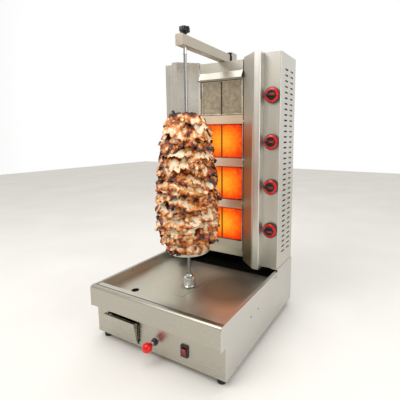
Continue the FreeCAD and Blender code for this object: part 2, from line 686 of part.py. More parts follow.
def arm_inner_bar():
    half_x = ARM_HALF - ARM_WALL - 0.4
    z0 = ARM_LOW + ARM_WALL + 0.4
    z1 = ARM_HIGH - ARM_WALL - 0.4
    bar = block(-half_x, half_x, 40.0, BRACKET_REAR - 2.0, z0, z1)
    hollow = block(-half_x + 3, half_x - 3, 39.0, BRACKET_REAR - 12.0, z0 + 3, z1 - 3)
    save("arm_inner_bar", bar.cut(hollow))


def arm_bracket():
    """Bent box on the column's roof that holds the arm's inner bar."""
    half = 17.5
    top = 1048.0
    roof = HEADER_TOP
    path = [(-46.0, roof), (-half, roof), (-half, top), (half, top), (half, roof), (46.0, roof)]
    strap = bent_sheet(path, V(0, BRACKET_REAR - BRACKET_FRONT, 0),
                       lambda u, v: V(u, BRACKET_FRONT, v), thickness=2.0, bend=1.5)
    back = block(-half, half, BRACKET_REAR - 2.0, BRACKET_REAR, roof + 0.1, top + 0.5)
    bolts = [rod(4.2, (x, BRACKET_FRONT + 20, roof + 1.0), (x, BRACKET_FRONT + 20, roof + 6.5))
             for x in (-34.0, 34.0)]
    save("arm_bracket", join(strap, back, *bolts))


# ---------------------------------------------------------------- burner column

def burner_fascia():
    """Front of the burner stack: four windows, a hooded header above and a folded skirt below."""
    plate = block(-FASCIA_HALF, FASCIA_HALF, BURNER_FACE, BURNER_FACE + SHEET, FASCIA_LOW, HEADER_TOP)
    windows = [block(-BURNER_HALF, BURNER_HALF, BURNER_FACE - 1, BURNER_FACE + 3,
                     z - BURNER_HALF_HIGH, z + BURNER_HALF_HIGH) for z in burner_middles()]
    top = BURNER_TOP_MIDDLE + BURNER_HALF_HIGH
    hood_path = [(BURNER_FACE + 0.2, top + 3.0), (BURNER_FACE - 15.0, top + 4.0),
                 (BURNER_FACE + 0.2, top + 32.0)]
    hood = bent_sheet(hood_path, V(2 * FASCIA_HALF - 2, 0, 0), yz(-FASCIA_HALF + 1), thickness=-1.2,
                      bend=0.8)
    skirt_path = [(BURNER_FACE, FASCIA_LOW + 1.0), (BURNER_FACE + 8.0, SEAT_Z + 9.0),
                  (BURNER_FACE + 34.0, SEAT_Z + 9.0)]
    skirt = bent_sheet(skirt_path, V(2 * FASCIA_HALF, 0, 0), yz(-FASCIA_HALF), thickness=SHEET, bend=1.0)
    save("burner_fascia", join(plate.cut(windows), hood, skirt))


def wing(node, right):
    """Flared heat reflector beside the burners: flange, flat front edge and a return."""
    path = [(101.0, 172.0), (101.0, 155.5), (172.5, 95.0), (197.0, 95.0), (197.0, 131.0)]
    sheet = bent_sheet(path, V(0, 0, WING_TOP - 207.0), xy(207.0), thickness=SHEET, bend=1.5)
    save(node, sheet if right else mirrored(sheet))


def column_cover(node, right):
    """Tall cover bent round the column's corner, with two rows of vent slots in its side."""
    path = [(COLUMN_IN, 165.0), (COLUMN_IN, COLUMN_FRONT), (COLUMN_OUT, COLUMN_FRONT),
            (COLUMN_OUT, REAR - SHEET)]
    sheet = bent_sheet(path, V(0, 0, COLUMN_TOP - SEAT_Z), xy(SEAT_Z), thickness=SHEET, bend=1.5)
    cuts = [slot_row(COLUMN_OUT - 3, COLUMN_OUT + 1, y, SLOT_LOW + SLOT_PITCH * k)
            for y in SLOT_MIDDLES for k in range(SLOT_ROWS)]
    if right:
        cuts += [rod(9.0, (KNOB_X, COLUMN_FRONT - 1, z), (KNOB_X, COLUMN_FRONT + 3, z))
                 for z in knob_heights()]
    sheet = sheet.cut(cuts)
    save(node, sheet if right else mirrored(sheet))


def column_back_cover():
    panel = block(-COLUMN_OUT, COLUMN_OUT, REAR - SHEET, REAR, SEAT_Z, COLUMN_TOP)
    cuts = [rod(INLET_R + 1.0, (KNOB_X, REAR - 3, INLET_Z), (KNOB_X, REAR + 1, INLET_Z))]
    for row in range(24):
        for x in (-120.0, -40.0, 40.0, 120.0):
            z = 300.0 + 28.0 * row
            cuts.append(block(x - 30.0, x + 30.0, REAR - 3, REAR + 1, z, z + 6.0))
    save("column_back_cover", panel.cut(cuts))


def column_top_plate():
    """Roof of the column, set a little below the covers, notched for the wings' inner flanges."""
    half = COLUMN_OUT - SHEET - 0.6
    plate = block(-half, half, BURNER_FACE + 2.0, REAR - SHEET - 0.2, HEADER_TOP - SHEET, HEADER_TOP)
    corner = block(COLUMN_IN + 2.0, half, COLUMN_FRONT + 2.0, BURNER_FACE + 3.0,
                   HEADER_TOP - SHEET, HEADER_TOP)
    inner_return = block(COLUMN_IN - 0.5, COLUMN_IN + 1.8, COLUMN_FRONT, 166.0,
                         HEADER_TOP - 3, HEADER_TOP + 1)
    notch = block(99.0, 103.0, BURNER_FACE, 173.0, HEADER_TOP - 3, HEADER_TOP + 1)
    plate = join(plate, corner, mirrored(corner))
    cuts = [notch, mirrored(notch), inner_return, mirrored(inner_return)]
    save("column_top_plate", plate.cut(cuts))


def column_frame():
    """Welded inner frame: floor plate across the two seats, four posts and a head bar."""
    floor = block(-257.0, 257.0, 196.0, REAR - 4.0, SEAT_Z, SEAT_Z + 2.5)
    pieces = []
    for side in (-1, 1):
        for x in (104.0, 246.0):
            pieces.append(block(*sorted((side * x, side * (x + 10.0))), 240.0, 262.0,
                                SEAT_Z + 1.0, HEADER_TOP - SHEET))
    head = block(-256.0, 256.0, 244.0, 258.0, HEADER_TOP - 22.0, HEADER_TOP - SHEET)
    save("column_frame", join(floor, *pieces, head))


def burner_housings():
    """Cast burner boxes behind the plaques, each with its mixing tube towards the gas valves."""
    housings = []
    for z in burner_middles():
        outer = block(-95.4, 95.4, 158.0, 208.0, z - 67.6, z + 67.6)
        cavity = block(-94.0, 94.0, 157.0, 205.0, z - 66.1, z + 66.1)
        shelf = block(-94.5, 94.5, 178.0, 190.0, z - 66.6, z + 66.6)
        opening = block(-88.0, 88.0, 177.0, 191.0, z - 60.0, z + 60.0)
        rib = block(-2.2, 2.2, PLAQUE_FACE, 190.0, z - 66.5, z + 66.5)
        mixing = rod(11.0, (94.0, VENTURI_Y + 10, z), (150.0, VENTURI_Y + 10, z))
        mouth = rod(9.5, (90.0, VENTURI_Y + 10, z), (151.0, VENTURI_Y + 10, z))
        box = join(outer.cut(cavity), shelf.cut(opening), rib, mixing)
        housings.append(box.cut(mouth))
    save("burner_housings", *housings)


def plaques():
    def pair(z):
        return [block(x0, x0 + 91.5, PLAQUE_FACE, PLAQUE_FACE + PLAQUE_THICK, z - 66.0, z + 66.0)
                for x0 in (-93.9, 2.4)]

    middles = burner_middles()
    save("plaques_top_burner", *pair(middles[0]))
    save("plaques_lit", *[tile for z in middles[1:] for tile in pair(z)])


def burner_screens():
    """Wire screen in a thin frame over each pair of plaques."""
    screens = []
    for z in burner_middles():
        frame = block(-93.7, 93.7, 158.4, 161.6, z - 65.8, z + 65.8)
        window = block(-90.0, 90.0, 158.0, 162.0, z - 62.0, z + 62.0)
        wires = [rod(0.8, (-91.5, 160.0, z + dz), (91.5, 160.0, z + dz)) for dz in (-31.0, 0.0, 31.0)]
        screens.append(join(frame.cut(window), *wires))
    save("burner_screens", *screens)


# ---------------------------------------------------------------- gas train

def gas_manifold():
    """Riser pipe behind the valves, with the threaded inlet that comes out at the back."""
    low = INLET_Z
    high = KNOB_TOP + 24.0
    upright = tube(10.6, 7.5, (KNOB_X, MANIFOLD_Y, low - 16.0), (KNOB_X, MANIFOLD_Y, high))
    caps = [rod(10.6, (KNOB_X, MANIFOLD_Y, z), (KNOB_X, MANIFOLD_Y, z + 4.0)) for z in (low - 18.0, high)]
    back = rod(10.0, (KNOB_X, MANIFOLD_Y + 9.0, low), (KNOB_X, REAR - 6.0, low))
    nipple = rod(INLET_R, (KNOB_X, REAR - 7.0, low), (KNOB_X, INLET_TIP, low))
    bore = rod(7.0, (KNOB_X, MANIFOLD_Y + 1.0, low), (KNOB_X, INLET_TIP + 1, low))
    taps = [rod(5.0, (KNOB_X, 186.0, z), (KNOB_X, MANIFOLD_Y - 9.0, z)) for z in knob_heights()]
    save("gas_manifold", join(upright, *caps, back, nipple, *taps).cut(bore))


def gas_valves():
    valves = []
    for z in knob_heights():
        body = block(KNOB_X - 12.0, KNOB_X + 12.0, 146.0, 186.0, z - 14.0, z + 14.0)
        neck = rod(9.0, (KNOB_X, 138.0, z), (KNOB_X, 147.0, z))
        bore = rod(STEM_R + RUNNING + 0.03, (KNOB_X, 137.0, z), (KNOB_X, 162.0, z))
        valves.append(join(body, neck).cut(bore))
    save("gas_valves", *valves)


def feed_tubes():
    """Brass feed from each valve's side to the injector in the mouth of its mixing tube."""
    tubes = []
    for knob_z, burner_z in zip(knob_heights(), burner_middles()):
        y = VENTURI_Y - 4.0
        turn_x = 190.0
        first = rod(4.0, (KNOB_X - 12.0, y, knob_z), (turn_x, y, knob_z))
        slope = rod(4.0, (turn_x, y, knob_z), (168.0, VENTURI_Y + 10, burner_z))
        last = rod(4.0, (168.0, VENTURI_Y + 10, burner_z), (156.0, VENTURI_Y + 10, burner_z))
        elbows = [Part.makeSphere(4.0, V(turn_x, y, knob_z)),
                  Part.makeSphere(4.0, V(168.0, VENTURI_Y + 10, burner_z))]
        jet = rod(6.5, (151.5, VENTURI_Y + 10, burner_z), (157.0, VENTURI_Y + 10, burner_z))
        tubes.append(join(first, slope, last, *elbows, jet))
    save("feed_tubes", *tubes)


# ---------------------------------------------------------------- burner knobs

def burner_knob(number, z):
    """Round skirt with a bevelled rim, a raised grip bar and the valve stem behind it."""
    back = COLUMN_FRONT - KNOB_GAP
    profile = [(0, back), (KNOB_R, back), (KNOB_R, back - 5.0), (KNOB_R - 6.5, back - 11.0),
               (KNOB_R - 8.5, back - 11.0), (KNOB_R - 10.5, back - 9.5), (0, back - 9.5)]
    skirt = turned_y(profile, KNOB_X, z)
    grip = block(KNOB_X - 17.0, KNOB_X + 17.0, back - 24.0, back - 9.0, z - 6.0, z + 6.0)
    boss = turned_y([(0, back - 9.0), (17.5, back - 9.0), (16.0, back - 14.0), (0, back - 14.0)], KNOB_X, z)
    stem = rod(STEM_R, (KNOB_X, back - 1.0, z), (KNOB_X, 156.0, z))
    save("burner_knob_%d" % number, join(skirt, boss, grip, stem))


def push_collar(number, z):
    """Spring collar behind the knob: it travels in with a push but does not turn."""
    back = COLUMN_FRONT - KNOB_GAP
    collar = tube(8.0, STEM_R + RUNNING, (KNOB_X, back + APART, z), (KNOB_X, back + 5.5, z))
    save("push_collar_%d" % number, collar)


base_floor()
front_panel()
front_apron()
side_panel("left_side_panel", right=False)
side_panel("right_side_panel", right=True)
base_back_panel()
drip_tray()
feet()
drain_spout()
drawer_guides()
drawer_pan()
drawer_front()
panel_screws()
rod_grommet()
switch_housing()
switch_rocker()
cable_gland()
carriage_rails()
motor_carriage()
gearbox_case()
motor_casing()
motor_rotor()
idler_gear()
output_gear()
shaft_bearing()
slot_cover()
pull_rod()
ball_knob()
drive_coupling()
spit_rod()
meat_disc()
meat_stack()
arm_tube()
top_pin()
clamp_knob()
arm_inner_bar()
arm_bracket()
burner_fascia()
wing("left_wing", right=False)
wing("right_wing", right=True)
column_cover("left_column_cover", right=False)
column_cover("right_column_cover", right=True)
column_back_cover()
column_top_plate()
column_frame()
burner_housings()
plaques()
burner_screens()
gas_manifold()
gas_valves()
feed_tubes()
for index, height in enumerate(knob_heights(), start=1):
    burner_knob(index, height)
    push_collar(index, height)
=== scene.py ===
"""Looks of a vertical rotisserie broiler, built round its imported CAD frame."""
import json
import math

import bmesh
import bpy
import numpy as np
from bpy.props import FloatProperty, FloatVectorProperty, IntProperty, PointerProperty
from bpy.types import Operator, Panel, PropertyGroup
from mathutils import Matrix, Vector

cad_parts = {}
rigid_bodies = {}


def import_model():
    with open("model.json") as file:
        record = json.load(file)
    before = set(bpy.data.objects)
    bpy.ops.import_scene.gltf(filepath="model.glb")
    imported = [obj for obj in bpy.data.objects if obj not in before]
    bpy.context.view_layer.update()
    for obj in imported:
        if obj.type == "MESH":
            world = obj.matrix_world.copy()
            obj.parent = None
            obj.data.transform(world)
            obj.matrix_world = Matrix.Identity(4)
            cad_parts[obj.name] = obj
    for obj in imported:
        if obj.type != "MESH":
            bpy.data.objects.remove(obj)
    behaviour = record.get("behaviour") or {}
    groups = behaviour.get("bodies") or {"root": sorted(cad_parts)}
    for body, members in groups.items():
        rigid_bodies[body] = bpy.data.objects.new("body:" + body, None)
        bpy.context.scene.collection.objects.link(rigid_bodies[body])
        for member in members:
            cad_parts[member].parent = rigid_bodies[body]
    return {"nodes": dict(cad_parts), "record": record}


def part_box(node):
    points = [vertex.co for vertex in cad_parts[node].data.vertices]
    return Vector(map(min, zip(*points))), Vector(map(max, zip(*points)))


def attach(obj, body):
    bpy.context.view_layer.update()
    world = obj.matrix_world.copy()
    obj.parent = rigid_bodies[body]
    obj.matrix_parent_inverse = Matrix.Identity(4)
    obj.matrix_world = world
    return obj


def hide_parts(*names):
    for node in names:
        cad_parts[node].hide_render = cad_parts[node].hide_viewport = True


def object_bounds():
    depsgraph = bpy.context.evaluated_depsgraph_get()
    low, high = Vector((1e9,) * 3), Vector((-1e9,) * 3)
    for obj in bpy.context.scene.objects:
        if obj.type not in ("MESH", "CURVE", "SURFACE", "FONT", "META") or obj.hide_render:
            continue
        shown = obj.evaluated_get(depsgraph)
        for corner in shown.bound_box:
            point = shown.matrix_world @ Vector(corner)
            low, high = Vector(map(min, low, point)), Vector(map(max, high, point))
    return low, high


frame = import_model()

bl_info = {
    "name": "Vertical Broiler Looks",
    "version": (1, 0, 0),
    "blender": (4, 5, 0),
    "location": "3D View > Sidebar > Broiler",
    "description": "Finishes and detailed pieces of a gas vertical broiler with a stack of sliced meat",
    "category": "Object",
}

CAD_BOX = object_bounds()
MM = 0.001
SMOOTH_BELOW = math.radians(38.0)

BODIES = frame["record"]["behaviour"]["bodies"]
SLOT_OF_NODE = {part["node"]: part["material_slot"] for part in frame["record"]["subparts"]}


# ---------------------------------------------------------------- places worked out from the frame

def middle(node):
    low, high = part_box(node)
    return (low + high) / 2.0


def burner_heights():
    """Middle height of each burner, from the top one down."""
    top_low, top_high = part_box("plaques_top_burner")
    lit_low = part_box("plaques_lit")[0]
    first = (top_low.z + top_high.z) / 2.0
    last = lit_low.z + (top_high.z - top_low.z) / 2.0
    return [first + (last - first) * k / 3.0 for k in range(4)]


SPIT = middle("spit_rod")
BURNER_Z = burner_heights()
TRAY_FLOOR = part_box("slot_cover")[1].z
BURNER_PITCH = BURNER_Z[0] - BURNER_Z[1]
KNOBS = [name for name in sorted(frame["nodes"]) if name.startswith("burner_knob_")]


# ---------------------------------------------------------------- nodes and colours

MATH, RANGE, RAMP, MIX = "ShaderNodeMath", "ShaderNodeMapRange", "ShaderNodeValToRGB", "ShaderNodeMixRGB"
XYZ, SPLIT = "ShaderNodeCombineXYZ", "ShaderNodeSeparateXYZ"


def linear(hex_colour):
    """Linear RGBA of an sRGB hex colour."""
    parts = [int(hex_colour[i:i + 2], 16) / 255.0 for i in (1, 3, 5)]
    return tuple(c / 12.92 if c <= 0.04045 else ((c + 0.055) / 1.055) ** 2.4 for c in parts) + (1.0,)


def shade(colour, share):
    """The same linear colour, lighter or darker."""
    return tuple(min(c * share, 1.0) for c in colour[:3]) + (1.0,)


def add(tree, kind, inputs=(), **settings):
    """Adds a node with its settings; inputs are by name in a dict, or in order in a list.

    Each input is a constant, a socket, a node whose first output is linked, or a list of them for a join.
    """
    node = tree.nodes.new(kind)
    for name, value in settings.items():
        setattr(node, name, value)
    for key, values in inputs.items() if isinstance(inputs, dict) else enumerate(inputs):
        for value in values if isinstance(values, list) else [values]:
            if isinstance(value, bpy.types.Node):
                value = value.outputs[0]
            if isinstance(value, bpy.types.NodeSocket):
                tree.links.new(value, node.inputs[key])
            else:
                node.inputs[key].default_value = value
    return node


def set_stops(node, *stops):
    """Gives a colour ramp its stops, each a place and a linear colour."""
    elements = node.color_ramp.elements
    while len(elements) < len(stops):
        elements.new(0.5)
    for element, (place, colour) in zip(elements, stops):
        element.position = place
        element.color = colour
    return node


def start_material(name):
    material = bpy.data.materials.new(name)
    material.use_nodes = True
    material.node_tree.nodes.clear()
    return material, material.node_tree


def end_material(material, inputs):
    """Closes a material with a Principled shader that has these inputs."""
    tree = material.node_tree
    add(tree, "ShaderNodeOutputMaterial", [add(tree, "ShaderNodeBsdfPrincipled", inputs)])
    return material


def object_place(tree):
    return add(tree, "ShaderNodeTexCoord").outputs["Object"]


def noise(tree, feature_mm, detail=3.0, stretch=(1.0, 1.0, 1.0)):
    """Noise on Object coordinates whose features are so many millimetres, stretched along each axis."""
    scale = tuple(1.0 / (feature_mm * MM * s) for s in stretch)
    mapping = add(tree, "ShaderNodeMapping", {"Vector": object_place(tree), "Scale": scale})
    return add(tree, "ShaderNodeTexNoise", {"Vector": mapping, "Scale": 1.0, "Detail": detail})


# The part of a noise's range, round its middle, that patterns use.
NOISE_LOW, NOISE_HIGH = 0.3, 0.7


def patterned(name, constants, colours=None, rough=None, relief=None):
    """Material whose colour, roughness and relief come from noises, each given as noise() takes it.

    colours is a noise and its colour stops, rough a noise with the lowest and highest roughness, and relief
    a noise with its depth in millimetres and its strength.
    """
    material, tree = start_material(name)
    inputs = dict(constants)
    if colours:
        pattern, *stops = colours
        inputs["Base Color"] = set_stops(add(tree, RAMP, [noise(tree, *pattern)]), *stops)
    if rough:
        pattern, *limits = rough
        inputs["Roughness"] = add(tree, RANGE, [noise(tree, *pattern), NOISE_LOW, NOISE_HIGH, *limits])
    if relief:
        pattern, depth, strength = relief
        inputs["Normal"] = add(tree, "ShaderNodeBump", {
            "Height": noise(tree, *pattern), "Distance": depth * MM, "Strength": strength})
    return end_material(material, inputs)


def base_colour(material):
    """A material's tree, what its base colour is linked from, and the input that it goes to."""
    tree = material.node_tree
    shader = next(node for node in tree.nodes if node.type == "BSDF_PRINCIPLED")
    return tree, shader.inputs["Base Color"].links[0].from_socket, shader.inputs["Base Color"]


# ---------------------------------------------------------------- materials

def brushed_stainless(name, colour, grain, roughness=0.3):
    """Stainless sheet with a brushed grain: fine parallel scratches drag its reflections into soft streaks.

    Real scratches are about 0.1 mm apart; they are drawn at 1.2 mm, as coarse as they need to show.
    """
    material, tree = start_material(name)
    along = [1.0, 1.0, 1.0]
    along["XYZ".index(grain)] = 140.0
    streaks = add(tree, MATH, [noise(tree, 1.2, 2.0, along), noise(tree, 7.0, 2.0, along)])
    ramp = add(tree, RAMP, [add(tree, RANGE, [streaks, 0.7, 1.3, 0.0, 1.0])])
    set_stops(ramp, (0.0, shade(colour, 0.97)), (1.0, shade(colour, 1.02)))
    rough = add(tree, RANGE, [streaks, 0.7, 1.3, roughness - 0.05, roughness + 0.05])
    smudges = add(tree, RANGE, [noise(tree, 130.0, 4.0), NOISE_LOW, NOISE_HIGH, -0.05, 0.06])
    scratches = add(tree, "ShaderNodeBump", {"Height": streaks, "Distance": 0.02 * MM, "Strength": 0.012})
    return end_material(material, {"Metallic": 1.0, "Base Color": ramp, "Normal": scratches,
                                   "Roughness": add(tree, MATH, [rough, smudges])})


def tinted_stainless_painted_light(name, colour, tint, grain, *spans):
    """Brushed stainless beside the burners, with a painted tint inside all the spans and clean metal outside
    them: a painted reflection of the glow on the wing, painted glow light on the fascia.

    A span is an axis, its first and last place and the length over which the tint fades past them.
    """
    material = brushed_stainless(name, colour, grain, 0.4)
    tree, clean, target = base_colour(material)
    places = add(tree, SPLIT, [object_place(tree)]).outputs
    cool = 0.0
    for axis, first, last, fade in spans:
        half = (last - first) / 2.0
        shifted = add(tree, MATH, [places[axis], (first + last) / 2.0], operation="SUBTRACT")
        off_middle = add(tree, MATH, [shifted], operation="ABSOLUTE")
        outside = add(tree, RANGE, [off_middle, half, half + fade, 0.0, 1.0])
        cool = add(tree, MATH, [cool, outside], operation="MAXIMUM")
    # The tint is painted light, standing in for the burners' glow on this metal.
    tree.links.new(add(tree, MIX, [cool, tint, clean]).outputs["Color"], target)
    return material


def rolled_stainless(name, colour, roughness=0.16):
    """Smooth rolled stainless, as on the tray and the round bars: a soft mirror with wiped smears."""
    smears = (60.0, 5.0, (1.0, 2.2, 1.0))
    stops = (0.3, shade(colour, 0.93)), (0.7, shade(colour, 1.04))
    return patterned(name, {"Metallic": 1.0}, (smears, *stops),
                     (smears, roughness - 0.04, roughness + 0.07), ((90.0, 2.0), 0.6, 0.12))


def tray_with_painted_shade(name, colour, painted_dim_colour, painted_shadow_colour, spot, reach, shadow_from):
    """The rolled tray with painted shade: a darker patch right of the meat as a painted dark reflection, and a
    painted near-black shadow under the burners.
    """
    material = rolled_stainless(name, colour, 0.43)
    tree, clean, target = base_colour(material)
    place = object_place(tree)
    away = add(tree, "ShaderNodeVectorMath", [place, spot], operation="DISTANCE").outputs["Value"]
    # Painted dark reflection: the tray darkens towards the given spot.
    dimmed = add(tree, MIX, [add(tree, RANGE, [away, 0.55 * reach, reach, 1.0, 0.0]), clean, painted_dim_colour])
    back = add(tree, SPLIT, [place]).outputs["Y"]
    # Painted shadow: the tray turns near black under the burners, from just in front of the fascia back.
    under = add(tree, RANGE, [back, shadow_from - 12.0 * MM, shadow_from, 0.0, 1.0])
    tree.links.new(add(tree, MIX, [under, dimmed, painted_shadow_colour]).outputs["Color"], target)
    return material


def polished_chrome(name):
    """Electroplated chrome: a near-perfect mirror with a faint haze of handling marks."""
    return patterned(name, {"Metallic": 1.0, "Base Color": linear("#DADCDD")}, rough=((9.0, 4.0), 0.04, 0.12))


def zinc_plated(name):
    """Zinc-plated steel of the inner frame: dull grey with a faint crystal spangle 12 mm across."""
    material, tree = start_material(name)
    mapping = add(tree, "ShaderNodeMapping", {"Vector": object_place(tree), "Scale": (83.0,) * 3})
    cells = add(tree, "ShaderNodeTexVoronoi", {"Vector": mapping, "Scale": 1.0})
    ramp = add(tree, RAMP, [cells])
    return end_material(material, {
        "Metallic": 1.0, "Base Color": set_stops(ramp, (0.0, linear("#8E9293")), (1.0, linear("#A9ADAD"))),
        "Roughness": add(tree, RANGE, [cells, 0.0, 1.0, 0.36, 0.5])})


def turned_steel(name):
    """Machined steel of the gears, bars and shafts: bright, with the tool's fine rings as a bump."""
    rings = (0.8, 1.0, (40.0, 40.0, 1.0))
    return patterned(name, {"Metallic": 1.0, "Base Color": linear("#A6A8A8")}, None, (rings, 0.22, 0.34),
                     (rings, 0.02, 0.3))


def cast_aluminium(name):
    """Sand-cast aluminium of the gear case: pale grey with a pebbled skin of 1.5 mm grains."""
    grains = (1.5,)
    return patterned(name, {"Metallic": 1.0, "Base Color": linear("#A7A9AA")}, None, (grains, 0.42, 0.62),
                     (grains, 0.25, 0.6))


def stove_enamel(name):
    """Black stove enamel on the motor: a slightly rippled satin coat."""
    ripple = (2.5, 2.0)
    return patterned(name, {"Base Color": linear("#1A1C1E"), "IOR": 1.5}, None, (ripple, 0.32, 0.45),
                     (ripple, 0.1, 0.4))


def scaled_cast_iron(name):
    """Cast iron burner boxes that have been hot for years: dark brown scale with paler worn patches."""
    scale = (14.0, 6.0)
    stops = (0.32, linear("#2B211C")), (0.55, linear("#4A3B32")), (0.75, linear("#6B5A4D"))
    return patterned(name, {"Metallic": 0.55}, (scale, *stops), (scale, 0.55, 0.8), ((1.8,), 0.3, 0.6))


def cordierite(name, colour):
    """Cordierite burner plaque: chalky unglazed ceramic, buff with a faint bloom from earlier firing."""
    stops = (0.3, shade(colour, 0.82)), (0.7, shade(colour, 1.1))
    return patterned(name, {"IOR": 1.5, "Roughness": 0.86}, ((26.0, 4.0), *stops), None, ((0.9,), 0.12, 0.5))


def edge_distance(tree, settings):
    """How far a point lies from the middle of its burner, 0 there and 1 at the window's edge."""
    low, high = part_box("plaques_top_burner")
    places = add(tree, SPLIT, [object_place(tree)]).outputs
    aside = add(tree, MATH, [places["X"]], operation="ABSOLUTE")
    across = add(tree, MATH, [aside, (high.x - low.x) / 2.0], operation="DIVIDE")
    lifted = add(tree, MATH, [places["Z"], BURNER_Z[0] - 8.5 * BURNER_PITCH], operation="SUBTRACT")
    in_pitch = add(tree, MATH, [lifted, BURNER_PITCH], operation="MODULO")
    shifted = add(tree, MATH, [in_pitch, BURNER_PITCH / 2.0], operation="SUBTRACT")
    off_middle = add(tree, MATH, [shifted], operation="ABSOLUTE")
    up = add(tree, MATH, [off_middle, (high.z - low.z) / 2.0], operation="DIVIDE")
    cubes = [add(tree, MATH, [share, 3.0], operation="POWER") for share in (across, up)]
    mottle = add(tree, RANGE, [noise(tree, 16.0), NOISE_LOW, NOISE_HIGH, -settings.mottle, settings.mottle])
    distance = add(tree, MATH, [add(tree, MATH, cubes), 1.0 / 3.0], operation="POWER")
    return add(tree, MATH, [distance, mottle])


def glowing_cordierite(name, settings):
    """The same ceramic at work, at about 950 C: yellow-orange in the middle, red where the frame cools it."""
    material, tree = start_material(name)
    ramp = add(tree, RAMP, [edge_distance(tree, settings)])
    return end_material(material, {
        "Base Color": linear("#4A1A06"), "Roughness": 0.9, "Emission Strength": settings.strength,
        "Emission Color": set_stops(ramp, (0.25, settings.hot), (0.75, settings.warm), (1.0, settings.edge))})


def heated_wire(name, settings):
    """Heat-resisting steel wire: straw and brown oxide on the cold burner, orange over the lit ones."""
    material, tree = start_material(name)
    height = add(tree, SPLIT, [object_place(tree)]).outputs["Z"]
    cold = add(tree, MATH, [height, (BURNER_Z[0] + BURNER_Z[1]) / 2.0], operation="GREATER_THAN")
    oxide = add(tree, MATH, [noise(tree, 11.0, 4.0), cold])
    tint = add(tree, RAMP, [add(tree, MATH, [oxide, 0.5], operation="MULTIPLY")])
    set_stops(tint, (0.15, linear("#3A1505")), (0.35, linear("#5A2408")), (0.65, linear("#B5AC96")),
              (0.85, linear("#F0E8D6")))
    put_out = add(tree, MATH, [cold, 4.0], operation="MULTIPLY")
    reach = add(tree, MATH, [edge_distance(tree, settings), put_out])
    glow = add(tree, RAMP, [add(tree, MATH, [reach, 0.5], operation="MULTIPLY")])
    set_stops(glow, (0.1, shade(settings.warm, 0.8)), (0.5, shade(settings.edge, 0.7)),
              (0.62, linear("#000000")))
    return end_material(material, {"Metallic": 0.6, "Roughness": 0.5, "Emission Strength": settings.strength,
                                   "Base Color": tint, "Emission Color": glow})


def machined_brass(name):
    """Machined brass gas fittings: warm yellow, dulled in patches by handling."""
    stops = (0.3, linear("#9A7B3C")), (0.7, linear("#C9A75A"))
    return patterned(name, {"Metallic": 1.0}, ((12.0, 4.0), *stops), ((5.0,), 0.25, 0.42))


def moulded_phenolic(name, colour, roughness=0.28, grain_mm=0.7):
    """Moulded phenolic or ABS: a deep even colour with a fine mould grain under a satin sheen."""
    wear = (22.0, 4.0)
    stops = (0.3, shade(colour, 0.88)), (0.7, shade(colour, 1.15))
    return patterned(name, {"IOR": 1.52}, (wear, *stops),
                     (wear, roughness - 0.05, roughness + 0.08), ((grain_mm, 2.0), 0.03, 0.4))


def vulcanised_rubber(name):
    """Black rubber feet: matte, dusty towards grey, with a coarse moulded skin."""
    dust = (8.0, 5.0)
    return patterned(name, {"IOR": 1.5}, (dust, (0.35, linear("#111112")), (0.75, linear("#2C2B2A"))),
                     (dust, 0.6, 0.8), ((0.6,), 0.08, 0.5))


def roast_meat(name, settings):
    """Roast sliced meat: pale fat and flesh, caramelised edges, charred lips, painted shade in the gaps and
    tucked parts, an oily shine.
    """
    material, tree = start_material(name)
    amount = 0.0
    # The deep attribute paints shade into tucked and hollow parts; the roast attribute holds browning and some
    # painted shade.
    for attribute, weight in (("roast", 0.5), ("deep", 0.9), ("tone", 0.42)):
        value = add(tree, "ShaderNodeAttribute", attribute_name=attribute).outputs["Fac"]
        amount = add(tree, MATH, [amount, add(tree, MATH, [value, weight], operation="MULTIPLY")])
    patches = add(tree, RANGE, [noise(tree, 20.0), NOISE_LOW, NOISE_HIGH, -0.48, 0.55])
    fibres = add(tree, RANGE, [noise(tree, 5.0, 4.0, (1.6, 1.6, 0.8)), NOISE_LOW, NOISE_HIGH, -0.2, 0.2])
    amount = add(tree, MATH, [amount, add(tree, MATH, [patches, fibres])])
    ramp = add(tree, RAMP, [amount])
    set_stops(ramp, (0.0, settings.fat), (0.2, settings.flesh), (0.38, settings.golden),
              (0.56, settings.caramel), (0.78, settings.crust), (1.0, settings.char))
    crumbs = add(tree, MATH, [noise(tree, 5.0, 4.0), noise(tree, 1.6, 2.0)])
    return end_material(material, {
        "IOR": 1.45, "Coat Weight": 0.35, "Coat Roughness": 0.18, "Specular IOR Level": 0.6,
        "Base Color": ramp, "Roughness": add(tree, RANGE, [fibres, -0.2, 0.2, 0.26, 0.5]),
        "Normal": add(tree, "ShaderNodeBump", {"Height": crumbs, "Distance": 1.6 * MM, "Strength": 0.7})})


